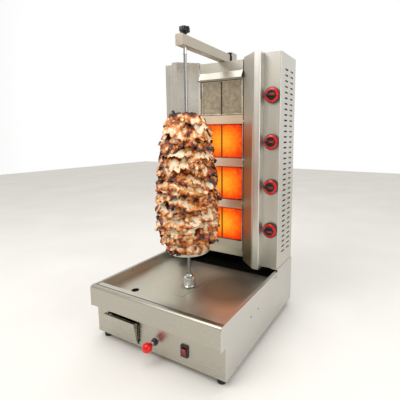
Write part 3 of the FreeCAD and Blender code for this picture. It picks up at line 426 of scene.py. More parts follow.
def build_finish(name):
    """The material of one kind of surface, made the first time that a piece asks for it."""
    if name in bpy.data.materials:
        return bpy.data.materials[name]
    scene = bpy.context.scene
    metal, burner = scene.broiler_metal, scene.broiler_burner
    wing_low, wing_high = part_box("right_wing")
    wing_bend = wing_low.x + WING_SLANT_SHARE * (wing_high.x - wing_low.x)
    fade = 4.0 * MM
    # Middle and reach of the tray's painted dark-reflection patch, right of the meat.
    dim_spot, dim_reach = (SPIT.x + 0.13, SPIT.y + 0.055, TRAY_FLOOR), 0.15
    maker, *values = {
        "stainless_front_x": (brushed_stainless, metal.front, "X"),
        "stainless_side_y": (brushed_stainless, metal.side, "Y", 0.34),
        "stainless_column_z": (brushed_stainless, metal.column, "Z", 0.42),
        "stainless_wing_z": (brushed_stainless, metal.wing, "Z", 0.27),
        # Painted reflection: brown on the wing's slant below the second burner, standing in for the glow
        # reflected there.
        "heat_tinted_wing_z": (tinted_stainless_painted_light, metal.wing, metal.brown, "Z",
                               ("X", wing_low.x, wing_bend, fade), ("Z", wing_low.z, BURNER_Z[1], 0.11)),
        # Painted light: a pale warm tint over the burners' height, standing in for their glow on the fascia.
        "heat_tinted_fascia_x": (tinted_stainless_painted_light, metal.fascia, metal.straw, "X",
                                 ("Z", BURNER_Z[-1], BURNER_Z[0], fade)),
        "stainless_arm_y": (brushed_stainless, metal.arm, "Y", 0.36),
        # The tray's colours: a grey for the painted dark reflection and a near black for the painted shadow
        # under the burners.
        "rolled_tray": (tray_with_painted_shade, metal.tray, linear("#8D938A"), linear("#2B2822"),
                        dim_spot, dim_reach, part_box("burner_fascia")[0].y),
        "rolled_bar": (rolled_stainless, metal.bar, 0.2),
        "chrome": (polished_chrome,),
        "zinc_plated_steel": (zinc_plated,),
        "turned_steel": (turned_steel,),
        "cast_aluminium": (cast_aluminium,),
        "stove_enamel": (stove_enamel,),
        "scaled_cast_iron": (scaled_cast_iron,),
        "cordierite": (cordierite, burner.ceramic),
        "glowing_cordierite": (glowing_cordierite, burner),
        "heated_wire": (heated_wire, burner),
        "machined_brass": (machined_brass,),
        "black_phenolic": (moulded_phenolic, linear("#121213")),
        "red_knob_paint": (moulded_phenolic, scene.broiler_knob.red, 0.22),
        "red_phenolic": (moulded_phenolic, linear("#E4100D"), 0.1, 1.4),
        "red_lens": (moulded_phenolic, linear("#7E0B0D"), 0.16, 1.2),
        "rubber": (vulcanised_rubber,),
        "roast_meat": (roast_meat, scene.broiler_meat),
    }[name]
    return maker(name, *values)


HALF_PLAQUE_GAP = 2.4 * MM

# The slanted part of a wing as a share of its whole width, from the burners to the flange.
WING_SLANT_SHARE = 0.62

# The finish of a CAD node is its slot's, unless the node has one of its own.
FINISH_OF_SLOT = {
    "stainless_sheet": "stainless_front_x", "stainless_bright": "rolled_bar",
    "galvanised_frame": "zinc_plated_steel", "machined_steel": "turned_steel", "chrome_plate": "chrome",
    "cast_gearbox": "cast_aluminium", "motor_paint": "stove_enamel", "burner_casting": "scaled_cast_iron",
    "plaque_ceramic": "cordierite", "plaque_glowing": "glowing_cordierite", "screen_wire": "heated_wire",
    "brass_fitting": "machined_brass", "knob_plastic": "black_phenolic", "collar_plastic": "black_phenolic",
    "red_ball_plastic": "red_phenolic", "switch_black": "black_phenolic", "switch_red": "red_lens",
    "foot_rubber": "rubber", "gland_plastic": "black_phenolic", "meat": "roast_meat",
}
FINISH_OF_NODE = {
    "left_side_panel": "stainless_side_y", "right_side_panel": "stainless_side_y",
    "left_column_cover": "stainless_column_z", "right_column_cover": "stainless_column_z",
    "column_back_cover": "stainless_column_z", "left_wing": "stainless_wing_z",
    "right_wing": "heat_tinted_wing_z", "spit_rod": "turned_steel", "burner_fascia": "heat_tinted_fascia_x",
    "arm_tube": "stainless_arm_y", "drip_tray": "rolled_tray", "meat_disc": "rolled_tray",
    "slot_cover": "rolled_tray",
}


# ---------------------------------------------------------------- meshes and pieces

def to_mesh(name, parts, finish=None):
    """Mesh of one finish from parts, each (vertices, faces, place), closed up and facing outwards."""
    vertices, faces = [], []
    for part_vertices, part_faces, place in parts:
        first = len(vertices)
        vertices += [tuple(place @ Vector(v)) for v in part_vertices]
        faces += [tuple(first + i for i in face) for face in part_faces]
    mesh = bpy.data.meshes.new(name)
    mesh.from_pydata(vertices, [], faces)
    soft = bmesh.new()
    soft.from_mesh(mesh)
    bmesh.ops.remove_doubles(soft, verts=soft.verts, dist=1e-6)
    bmesh.ops.recalc_face_normals(soft, faces=soft.faces)
    soft.to_mesh(mesh)
    soft.free()
    if finish:
        mesh.materials.append(build_finish(finish))
    return smooth(mesh)


def smooth(mesh):
    """Smooth shading, with creases kept sharp."""
    mesh.polygons.foreach_set("use_smooth", [True] * len(mesh.polygons))
    mesh.set_sharp_from_angle(angle=SMOOTH_BELOW)
    return mesh


def lathe(profile, segments, shape=None):
    """Vertices and faces of a solid turned about Z, from (radius, height) points; a radius of 0 is a pole.

    shape(angle, radius, height) may change a radius, for lobes and flutes.
    """
    vertices, faces, rings = [], [], []
    for radius, height in profile:
        if radius <= 0.0:
            rings.append([len(vertices)] * segments)
            vertices.append((0.0, 0.0, height))
            continue
        rings.append(range(len(vertices), len(vertices) + segments))
        for k in range(segments):
            angle = 2.0 * math.pi * k / segments
            r = shape(angle, radius, height) if shape else radius
            vertices.append((r * math.cos(angle), r * math.sin(angle), height))
    for lower, upper in zip(rings, rings[1:]):
        for k in range(segments):
            after = (k + 1) % segments
            face = tuple(dict.fromkeys((lower[k], lower[after], upper[after], upper[k])))
            if len(face) > 2:
                faces.append(face)
    return vertices, faces


def millimetres(*points):
    """Points given in millimetres, as metres."""
    return [tuple(c * MM for c in point) for point in points]


def rounded_box(low, high, radius, segments=3):
    """Vertices and faces of a box with rounded edges."""
    made = bmesh.new()
    bmesh.ops.create_cube(made, size=1.0)
    middle_point = (Vector(low) + Vector(high)) / 2.0
    extent = Vector(high) - Vector(low)
    for vertex in made.verts:
        vertex.co = Vector(c * e for c, e in zip(vertex.co, extent)) + middle_point
    bmesh.ops.bevel(made, geom=made.edges[:], offset=radius, segments=segments, profile=0.5, affect="EDGES")
    made.verts.index_update()
    vertices = [tuple(v.co) for v in made.verts]
    faces = [tuple(v.index for v in face.verts) for face in made.faces]
    made.free()
    return vertices, faces


def piece(name, mesh, node, slot=None):
    """Puts a finished mesh in the scene on a CAD node's body.

    It stands for that node, which is hidden, unless it's an extra piece; a slot passed only marks it as extra
    and is not given to it.
    """
    thing = bpy.data.objects.new(name, mesh)
    bpy.context.scene.collection.objects.link(thing)
    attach(thing, next(body for body, nodes in BODIES.items() if node in nodes))
    if not slot:
        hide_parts(node)


UPRIGHT = Matrix.Identity(4)
TO_COOK = Matrix.Rotation(math.radians(90.0), 4, "X")


def at(place, turn=UPRIGHT):
    return Matrix.Translation(place) @ turn


# ---------------------------------------------------------------- Geometry Nodes

COPY, MOVE, JOIN = "GeometryNodeInstanceOnPoints", "GeometryNodeTransform", "GeometryNodeJoinGeometry"
ROW, REAL, VECTOR_MATH = "GeometryNodeMeshLine", "GeometryNodeRealizeInstances", "ShaderNodeVectorMath"


def start_tree(name, **sockets):
    """New Geometry Nodes tree with named inputs; gives the tree and its input sockets by name."""
    tree = bpy.data.node_groups.new(name, "GeometryNodeTree")
    tree.interface.new_socket("Geometry", in_out="OUTPUT", socket_type="NodeSocketGeometry")
    tree.interface.new_socket("Geometry", in_out="INPUT", socket_type="NodeSocketGeometry")
    for kind, names in sockets.items():
        for socket_name in names:
            tree.interface.new_socket(socket_name, in_out="INPUT", socket_type="NodeSocket" + kind)
    tree.interface.new_socket("Material", in_out="INPUT", socket_type="NodeSocketMaterial")
    return tree, add(tree, "NodeGroupInput").outputs


def end_tree(tree, geometry, material):
    """Realizes the instances, gives them their material and closes the tree."""
    real = add(tree, REAL, {"Geometry": geometry})
    done = add(tree, "GeometryNodeSetMaterial", {"Geometry": real, "Material": material})
    add(tree, "NodeGroupOutput", [done])
    return tree


def grow(name, start_mesh, tree, finish, **values):
    """Runs a tree on a mesh and gives the plain mesh that comes out; an input's spaces are written as _."""
    carrier = bpy.data.objects.new(name + "_carrier", start_mesh)
    bpy.context.scene.collection.objects.link(carrier)
    modifier = carrier.modifiers.new("Grow", "NODES")
    modifier.node_group = tree
    sockets = {item.name: item.identifier for item in tree.interface.items_tree if item.in_out == "INPUT"}
    modifier[sockets["Material"]] = build_finish(finish)
    for key, value in values.items():
        modifier[sockets[key.replace("_", " ")]] = value
    bpy.context.view_layer.update()
    depsgraph = bpy.context.evaluated_depsgraph_get()
    grown = bpy.data.meshes.new_from_object(carrier.evaluated_get(depsgraph), depsgraph=depsgraph,
                                            preserve_all_data_layers=True)
    carrier.modifiers.clear()
    bpy.data.objects.remove(carrier)
    if not grown.polygons:
        raise RuntimeError(name + " came out empty")
    grown.name = name
    return grown


def wire_screen_tree():
    """Woven screens: upright and level wires at one pitch over each burner, added to the frames passed in.

    The real mesh is finer; it is drawn as coarse as it needs to show.
    """
    tree, inputs = start_tree("Wire Screens", Vector=["Top Middle"], Int=["Burners"], Float=[
        "Width", "Height", "Wire Pitch", "Wire Thickness", "Burner Pitch"])
    thickness, pitch = inputs["Wire Thickness"], inputs["Wire Pitch"]
    radius = add(tree, MATH, [thickness, 0.5], operation="MULTIPLY")
    section = add(tree, "GeometryNodeCurvePrimitiveCircle", {"Resolution": 4, "Radius": radius})
    weaves = []
    for length, run, upright, side in (("Height", "Width", True, 0.45), ("Width", "Height", False, -0.45)):
        layer = add(tree, MATH, [thickness, side], operation="MULTIPLY")
        half = add(tree, MATH, [inputs[length], 0.5], operation="MULTIPLY")
        back = add(tree, MATH, [half, -1.0], operation="MULTIPLY")
        start, end = [add(tree, XYZ, [0.0, layer, e] if upright else [e, layer, 0.0]) for e in (back, half)]
        line = add(tree, "GeometryNodeCurvePrimitiveLine", {"Start": start, "End": end})
        wire = add(tree, "GeometryNodeCurveToMesh",
                   {"Curve": line, "Profile Curve": section, "Fill Caps": True})
        first = add(tree, MATH, [inputs[run], -0.5], operation="MULTIPLY")
        spots = [add(tree, XYZ, [e, 0.0, 0.0] if upright else [0.0, 0.0, e]) for e in (first, pitch)]
        count = add(tree, MATH, [inputs[run], pitch], operation="DIVIDE")
        places = add(tree, ROW, {"Count": count, "Start Location": spots[0], "Offset": spots[1]})
        weaves.append(add(tree, COPY, {"Points": places, "Instance": wire}))
    down = add(tree, XYZ, {"Z": add(tree, MATH, [inputs["Burner Pitch"], -1.0], operation="MULTIPLY")})
    burners = add(tree, ROW,
                  {"Count": inputs["Burners"], "Start Location": inputs["Top Middle"], "Offset": down})
    screens = add(tree, COPY, {"Points": burners, "Instance": add(tree, JOIN, [weaves])})
    return end_tree(tree, add(tree, JOIN, [[screens, inputs["Geometry"]]]), inputs["Material"])


def plaque_tree():
    """Perforated plaques: the cell passed in is repeated over each tile, in front of a box open to it."""
    tree, inputs = start_tree(
        "Perforated Plaques", Vector=["Middle"], Int=["Columns", "Rows", "Burners"],
        Float=["Tile Width", "Tile Height", "Tile Depth", "Tile Spacing", "Burner Pitch"])
    width, height, depth = inputs["Tile Width"], inputs["Tile Height"], inputs["Tile Depth"]
    cell_width = add(tree, MATH, [width, inputs["Columns"]], operation="DIVIDE")
    cell_height = add(tree, MATH, [height, inputs["Rows"]], operation="DIVIDE")
    stand = (math.radians(90.0), 0.0, 0.0)
    grid = add(tree, "GeometryNodeMeshGrid", {
        "Size X": add(tree, MATH, [width, cell_width], operation="SUBTRACT"), "Vertices X": inputs["Columns"],
        "Size Y": add(tree, MATH, [height, cell_height], operation="SUBTRACT"), "Vertices Y": inputs["Rows"]})
    standing = add(tree, MOVE, {"Geometry": grid, "Rotation": stand})
    cells = add(tree, COPY, {"Points": standing, "Instance": inputs["Geometry"],
                             "Scale": add(tree, XYZ, [cell_width, 1.0, cell_height])})
    box = add(tree, "GeometryNodeMeshCube", {"Size": add(tree, XYZ, [width, depth, height])})
    behind = add(tree, XYZ, {"Y": add(tree, MATH, [depth, 0.5], operation="MULTIPLY")})
    normal = add(tree, SPLIT, [add(tree, "GeometryNodeInputNormal")])
    shell = add(tree, "GeometryNodeDeleteGeometry", {
        "Geometry": add(tree, MOVE, {"Geometry": box, "Translation": behind}),
        "Selection": add(tree, MATH, [normal.outputs["Y"], -0.9], operation="LESS_THAN")}, domain="FACE")
    tile = add(tree, JOIN, [[add(tree, REAL, {"Geometry": cells}), shell]])
    gaps = add(tree, MATH, [inputs["Burners"], 1.0], operation="SUBTRACT")
    places = add(tree, "GeometryNodeMeshGrid", {
        "Size X": inputs["Tile Spacing"], "Vertices X": 2, "Vertices Y": inputs["Burners"],
        "Size Y": add(tree, MATH, [gaps, inputs["Burner Pitch"]], operation="MULTIPLY")})
    upright = add(tree, MOVE, {"Geometry": places, "Rotation": stand, "Translation": inputs["Middle"]})
    tiles = add(tree, COPY, {"Points": upright, "Instance": tile})
    merged = add(tree, "GeometryNodeMergeByDistance",
                 {"Geometry": add(tree, REAL, {"Geometry": tiles}), "Distance": 0.02 * MM})
    return end_tree(tree, merged, inputs["Material"])


def scatter_tree():
    """Shapes of a collection, each set on a point of the mesh passed in, with its turn, size and pick.

    The whole result is then crumpled by two seeded noises, a broad one and a fine one.
    """
    tree, inputs = start_tree("Scattered Shapes", Collection=["Shapes"],
                              Float=["Broad Crumple", "Fine Crumple", "Seed"])
    shapes = add(tree, "GeometryNodeCollectionInfo",
                 {"Collection": inputs["Shapes"], "Separate Children": True, "Reset Children": True})
    turn, size, pick = [
        add(tree, "GeometryNodeInputNamedAttribute", {"Name": name}, data_type=kind).outputs["Attribute"]
        for name, kind in (("turn", "FLOAT_VECTOR"), ("size", "FLOAT_VECTOR"), ("pick", "INT"))]
    shape = add(tree, REAL, {"Geometry": add(tree, COPY, {
        "Points": inputs["Geometry"], "Instance": shapes, "Pick Instance": True, "Instance Index": pick,
        "Rotation": add(tree, "FunctionNodeEulerToRotation", {"Euler": turn}), "Scale": size})})
    for feature, amount in ((0.030, "Broad Crumple"), (0.009, "Fine Crumple")):
        texture = add(tree, "ShaderNodeTexNoise", {
            "Vector": add(tree, "GeometryNodeInputPosition"), "W": inputs["Seed"], "Scale": 1.0 / feature,
            "Detail": 1.0}, noise_dimensions="4D")
        centred = add(tree, VECTOR_MATH, [texture.outputs["Color"], (0.5, 0.5, 0.5)], operation="SUBTRACT")
        push = add(tree, VECTOR_MATH, {0: centred, "Scale": inputs[amount]}, operation="SCALE")
        shape = add(tree, "GeometryNodeSetPosition", {"Geometry": shape, "Offset": push})
    return end_tree(tree, shape, inputs["Material"])


def scatter(name, meshes, points, finish, broad=0.0, fine=0.0, seed=0.0):
    """Grows the meshes on points, each (place, turn, size, pick, tone), and gives the plain mesh."""
    shapes = bpy.data.collections.new(name + "_shapes")
    for number, mesh in enumerate(meshes):
        shapes.objects.link(bpy.data.objects.new("%s_shape_%02d" % (name, number), mesh))
    loose = bpy.data.meshes.new(name + "_points")
    loose.from_pydata([tuple(point[0]) for point in points], [], [])
    kinds = (("turn", "FLOAT_VECTOR"), ("size", "FLOAT_VECTOR"), ("pick", "INT"), ("tone", "FLOAT"))
    for number, (attribute, kind) in enumerate(kinds, start=1):
        values = np.array([point[number] for point in points]).ravel()
        data = loose.attributes.new(attribute, kind, "POINT").data
        data.foreach_set("vector" if kind == "FLOAT_VECTOR" else "value", values)
    grown = grow(name, loose, scatter_tree(), finish, Shapes=shapes, Broad_Crumple=broad, Fine_Crumple=fine,
                 Seed=seed)
    for thing in list(shapes.objects):
        bpy.data.objects.remove(thing)
    bpy.data.collections.remove(shapes)
    return grown


# ---------------------------------------------------------------- settings

def colour(name, description, hex_colour):
    return FloatVectorProperty(name=name, description=description, default=linear(hex_colour), subtype="COLOR",
                               size=4, min=0.0, max=1.0)


def length(name, description, default, unit="LENGTH"):
    return FloatProperty(name=name, description=description, default=default, unit=unit, precision=4)


def share(name, description, default):
    return FloatProperty(name=name, description=description, default=default)


def count(name, description, default):
    return IntProperty(name=name, description=description, default=default, min=1)


# Painted light and shade: one stainless is given a lighter or darker tint for each part, standing for how much
# light that part gets, the front darker and the sides, column and wings lighter.
class BROILER_PG_metal(PropertyGroup):
    front: colour("Front", "Stainless of the front panels", "#B6B2A7")
    side: colour("Sides", "Stainless of the side panels", "#CDCBC5")
    column: colour("Column", "Stainless of the column's covers", "#CDCAC2")
    wing: colour("Wings", "Polished stainless of the flared wings", "#E6E4DF")
    fascia: colour("Fascia", "Stainless of the header and fascia", "#C6C2B8")
    arm: colour("Arm", "Stainless of the top arm", "#BCB3A4")
    # Painted light: this pale warm tint stands in for the burners' glow on the fascia between them.
    straw: colour("Straw tint", "Straw oxide that the heat leaves between the burners", "#FFE8D0")
    # Painted reflection: this brown stands in for the burners' glow and the dark gap reflected in the wing's
    # lower part.
    brown: colour("Brown tint", "Brown oxide that the heat leaves on the wing", "#A39378")
    tray: colour("Tray", "Rolled stainless of the drip tray", "#CCC7B8")
    bar: colour("Bars", "Stainless of the disc, rods and heads", "#DEDCD8")


class BROILER_PG_burner(PropertyGroup):
    wire_pitch: length("Wire pitch", "Distance between neighbouring screen wires", 0.0052)
    wire_thickness: length("Wire thickness", "Thickness of a screen wire", 0.0013)
    frame_width: length("Frame width", "Width of the bar round each screen", 0.0037)
    holes_across: count("Holes across", "Holes across one plaque", 21)
    holes_up: count("Holes up", "Holes up one plaque", 31)
    hole_share: share("Hole share", "Radius of a hole as a share of its cell", 0.34)
    hole_depth: length("Hole depth", "Depth of the holes that is modelled", 0.002)
    strength: share("Glow strength", "Strength of the lit burners' glow", 1.15)
    mottle: share("Mottle", "Unevenness of the glow", 0.12)
    ceramic: colour("Ceramic", "Cold plaque", "#CDBFA8")
    hot: colour("Hot middle", "Glow in the middle of a burner", "#FFB52A")
    warm: colour("Warm ring", "Glow between the middle and the edge", "#FF7A0A")
    edge: colour("Cool edge", "Glow at the edge of a burner", "#F03A05")


class BROILER_PG_meat(PropertyGroup):
    levels: count("Levels", "Layers of slices, one above the other", 22)
    around: count("Slices around", "Slices in one layer", 6)
    slice_height: length("Slice height", "Height of a slice's showing edge", 0.034)
    thickness: length("Thickness", "Thickness of a slice", 0.006)
    tuck: length("Tuck", "How far a slice's upper edge goes under its neighbours", 0.017)
    lip: length("Lip", "How far a slice's lower edge stands out", 0.009)
    ruffle: length("Ruffle", "Depth of the waves along a slice", 0.007)
    wrinkle: length("Wrinkle", "Rise and fall of a slice along its length", 0.008)
    broad_crumple: length("Broad crumple", "Random bulges of the whole stack", 0.011)
    fine_crumple: length("Fine crumple", "Random small bulges", 0.005)
    scraps: count("Scraps", "Small loose pieces in the gaps", 70)
    seed: IntProperty(name="Seed", description="Fixed seed of the stack", default=7)
    fat: colour("Fat", "Pale fat", "#FFEED0")
    flesh: colour("Flesh", "Cooked flesh", "#EFAF6C")
    golden: colour("Golden", "Lightly roasted", "#E38E26")
    caramel: colour("Caramel", "Well roasted", "#BA4F0D")
    crust: colour("Crust", "Dark crust", "#682307")
    # Painted shade: this near black also fills the gaps and tucked parts, besides the charred edges.
    char: colour("Char", "Charred edges and gaps", "#1E0B07")


class BROILER_PG_knob(PropertyGroup):
    grip_half: length("Grip half length", "Half the length of a knob's grip bar", 0.017)
    grip_width: length("Grip width", "Width of a knob's grip bar", 0.0112)
    red: colour("Ring red", "Red ring and pointer of a knob", "#D8120F")


class BROILER_PG_stage(PropertyGroup):
    eye: FloatVectorProperty(name="Camera place", description="Where the camera stands", subtype="TRANSLATION",
                             unit="LENGTH", default=(0.6745, -0.9836, 0.7129))
    tilt: length("Camera tilt", "Angle that the camera looks down by", math.radians(8.15), "ROTATION")
    turn: length("Camera turn", "Angle that the camera is turned by", math.radians(28.89), "ROTATION")
    lens: share("Lens", "Focal length in millimetres on a 36 mm sensor", 29.05)
    shift_x: share("Shift across", "Sideways shift of the camera's frame", -0.0776)
    shift_y: share("Shift up", "Upward shift of the camera's frame", -0.0436)
    floor: colour("Floor", "Pale floor", "#F0EEEA")
    key_power: length("Key power", "Power of the large light in front", 38.0, "POWER")
    side_power: length("Side power", "Power of the light on the knob side", 16.0, "POWER")
    top_power: length("Top power", "Power of the light overhead", 16.0, "POWER")


# ---------------------------------------------------------------- operators

class BROILER_OT_cad_finishes(Operator):
    """Give every CAD node the finish of its own surface"""
    bl_idname = "broiler.cad_finishes"
    bl_label = "Sheet and inner metal finishes"

    def execute(self, context):
        for node, thing in frame["nodes"].items():
            finish = build_finish(FINISH_OF_NODE.get(node, FINISH_OF_SLOT[SLOT_OF_NODE[node]]))
            for slot in thing.material_slots:
                slot.material = finish
        return {"FINISHED"}


class BROILER_OT_wire_screens(Operator):
    """Weave the wire screens in front of the four burners, each in its bevelled frame"""
    bl_idname = "broiler.wire_screens"
    bl_label = "Burner wire screens"

    def execute(self, context):
        settings = context.scene.broiler_burner
        low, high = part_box("burner_screens")
        reach = Vector((high.x, 0.0, high.z - BURNER_Z[0]))
        depth = Vector((0.0, (high.y - low.y) / 2.0, 0.0))
        layer = (low.y + high.y) / 2.0
        bar = settings.frame_width
        bars = []
        for z in BURNER_Z:
            for side in (-1, 1):
                upright = Vector((side * (reach.x - bar / 2.0), layer, z))
                level = Vector((0.0, layer, z + side * (reach.z - bar / 2.0)))
                for spot, half in ((upright, Vector((bar / 2.0, depth.y, reach.z))),
                                   (level, Vector((reach.x - bar, depth.y, bar / 2.0)))):
                    vertices, faces = rounded_box(spot - half, spot + half, 0.4 * MM, 2)
                    bars.append((vertices, faces, UPRIGHT))
        frames = to_mesh("screen_frames", bars, "heated_wire")
        grown = grow("woven_wire_screens", frames, wire_screen_tree(), "heated_wire",
                     Width=2.0 * (reach.x - bar), Height=2.0 * (reach.z - bar), Wire_Pitch=settings.wire_pitch,
                     Wire_Thickness=settings.wire_thickness, Burners=len(BURNER_Z), Burner_Pitch=BURNER_PITCH,
                     Top_Middle=(0.0, layer, BURNER_Z[0]))
        piece("woven_wire_screens", smooth(grown), "burner_screens")
        strips = []
        for z in BURNER_Z:
            half = Vector((1.5 * MM, 0.5 * MM, reach.z - 0.3 * MM))
            spot = Vector((0.0, low.y - half.y, z))
            strips.append((*rounded_box(spot - half, spot + half, 0.3 * MM, 2), UPRIGHT))
        piece("plaque_strips", to_mesh("plaque_strips", strips, "scaled_cast_iron"), "burner_screens",
              "burner_casting")
        return {"FINISHED"}


def plaque_cell(settings):
    """One cell of a plaque, 1 by 1 and facing the cook, with an eight-sided blind hole in its middle."""
    outer = [(1, 0), (1, 1), (0, 1), (-1, 1), (-1, 0), (-1, -1), (0, -1), (1, -1)]
    round_hole = [(math.cos(math.pi * k / 4.0), math.sin(math.pi * k / 4.0)) for k in range(8)]
    vertices = [(x / 2.0, 0.0, z / 2.0) for x, z in outer]
    for depth in (0.0, settings.hole_depth):
        vertices += [(x * settings.hole_share, depth, z * settings.hole_share) for x, z in round_hole]
    faces = []
    for k in range(8):
        after = (k + 1) % 8
        faces.append((k, after, 8 + after, 8 + k))
        faces.append((8 + k, 8 + after, 16 + after, 16 + k))
    faces.append(tuple(range(16, 24)))
    mesh = bpy.data.meshes.new("plaque_cell")
    mesh.from_pydata(vertices, [], faces)
    return mesh


class BROILER_OT_plaques(Operator):
    """Perforate the ceramic plaques: the cold pair of the top burner and the glowing pairs below it"""
    bl_idname = "broiler.plaques"
    bl_label = "Ceramic plaques"

    def execute(self, context):
        settings = context.scene.broiler_burner
        low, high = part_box("plaques_top_burner")
        tile_width = (high.x - low.x) / 2.0 - HALF_PLAQUE_GAP
        for name, node, finish, rows in (("perforated_plaques_cold", "plaques_top_burner", "cordierite", 1),
                                         ("perforated_plaques_lit", "plaques_lit", "glowing_cordierite", 3)):
            grown = grow(name, plaque_cell(settings), plaque_tree(), finish,
                         Columns=settings.holes_across, Rows=settings.holes_up, Tile_Width=tile_width,
                         Tile_Height=high.z - low.z, Tile_Depth=high.y - low.y,
                         Tile_Spacing=high.x - low.x - tile_width, Burners=rows, Burner_Pitch=BURNER_PITCH,
                         Middle=(0.0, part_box(node)[0].y, middle(node).z))
            piece(name, grown, node)
        return {"FINISHED"}


# How the slices are set: each level's turn past the one below, their random tilts, how far a slice hangs
# below its middle, the stack's least radius, and the height and share by which it draws in above the disc.
LEVEL_TURN = 2.4
SLICE_TILT, SCRAP_TILT = 0.13, 0.35
HANG, LEAST_RADIUS = 0.008, 0.064
DRAWN_IN, DRAWN_IN_SHARE = 0.055, 0.68


def meat_outline():
    """Heights of the CAD meat's rings and the radius of each."""
    rings = {}
    for vertex in frame["nodes"]["meat_stack"].data.vertices:
        height = round(vertex.co.z, 4)
        rings[height] = max(rings.get(height, 0.0), math.hypot(vertex.co.x - SPIT.x, vertex.co.y - SPIT.y))
    heights = sorted(rings)
    return heights, [rings[height] for height in heights]


def waves(random, along, count):
    """Sum of sine waves with random phases, between about -1 and 1."""
    made = np.zeros_like(along)
    for k in range(1, count + 1):
        made += random.uniform(0.4, 1.0) * np.sin(2.0 * np.pi * (k * along + random.uniform())) / k ** 0.6
    return made / max(np.abs(made).max(), 1e-6)


def meat_slice(random, name, settings, radius, span, height, steps=(28, 8)):
    """Mesh of one ragged slice round the spit's axis, tucked in at its top and hanging out below."""
    across, down = steps
    u = np.linspace(0.0, 1.0, across + 1)[:, None]
    v = np.linspace(0.0, 1.0, down + 1)[None, :]
    ends = np.clip(3.2 * np.sin(np.pi * u), 0.0, 1.0)
    ruffle = waves(random, u, 7)
    rise = waves(random, u, 4)
    ragged = waves(random, u, 11)
    angle = (u - 0.5) * span + 0.05 * np.sin(3.0 * v + 6.0 * u)
    out = (radius - settings.tuck * (1.0 - v) ** 1.5 - 0.8 * settings.tuck * (1.0 - ends)
           + settings.ruffle * ruffle * (0.35 + 0.65 * v) + settings.lip * v ** 3)
    z = (height * (0.5 - v) * (0.45 + 0.55 * ends) + settings.wrinkle * rise * (0.4 + 0.6 * v)
         - 0.22 * height * (ragged + 0.3) * v ** 2)
    shell = []
    for inwards in (0.0, 1.0):
        r = out - inwards * settings.thickness * (0.35 + 0.65 * ends)
        shell.append(np.stack([r * np.cos(angle), r * np.sin(angle), z + 0.0 * r], axis=-1).reshape(-1, 3))
    vertices = np.concatenate(shell)
    row, back = down + 1, (across + 1) * (down + 1)
    faces = []
    for i in range(across):
        for j in range(down):
            corner = i * row + j
            faces.append((corner, corner + 1, corner + row + 1, corner + row))
            faces.append(tuple(back + c for c in (corner, corner + row, corner + row + 1, corner + 1)))
    border = [i * row for i in range(across)] + [across * row + j for j in range(down)]
    border += [i * row + down for i in range(across, 0, -1)] + list(range(down, 0, -1))
    for first, second in zip(border, border[1:] + border[:1]):
        faces.append((first, second, back + second, back + first))
    mesh = to_mesh(name, [(vertices.tolist(), faces, UPRIGHT)])
    # Browning on the lower lip, the bulges and the ragged tips; the term for the ends is painted shade where
    # they tuck under neighbouring slices.
    roast = (0.9 * v ** 5 + 0.25 * np.clip(ruffle, 0.0, 1.0) * v + 0.35 * (1.0 - ends)
             + 0.3 * (ragged > 0.5) * v ** 3)
    # Painted shade: highest where a slice tucks under its neighbours, in the hollows of its ruffles, and all
    # over its back face.
    deep = np.clip(1.3 * (1.0 - v) ** 4 + 0.25 * np.clip(-ruffle, 0.0, 1.0) * (1.0 - 0.6 * v), 0.0, 1.2)
    for attribute, front in (("roast", roast + 0.0 * u), ("deep", deep + 0.0 * u)):
        both = np.concatenate([front.ravel(), np.ones(back) if attribute == "deep" else front.ravel()])
        mesh.attributes.new(attribute, "FLOAT", "POINT").data.foreach_set("value", both)
    return mesh


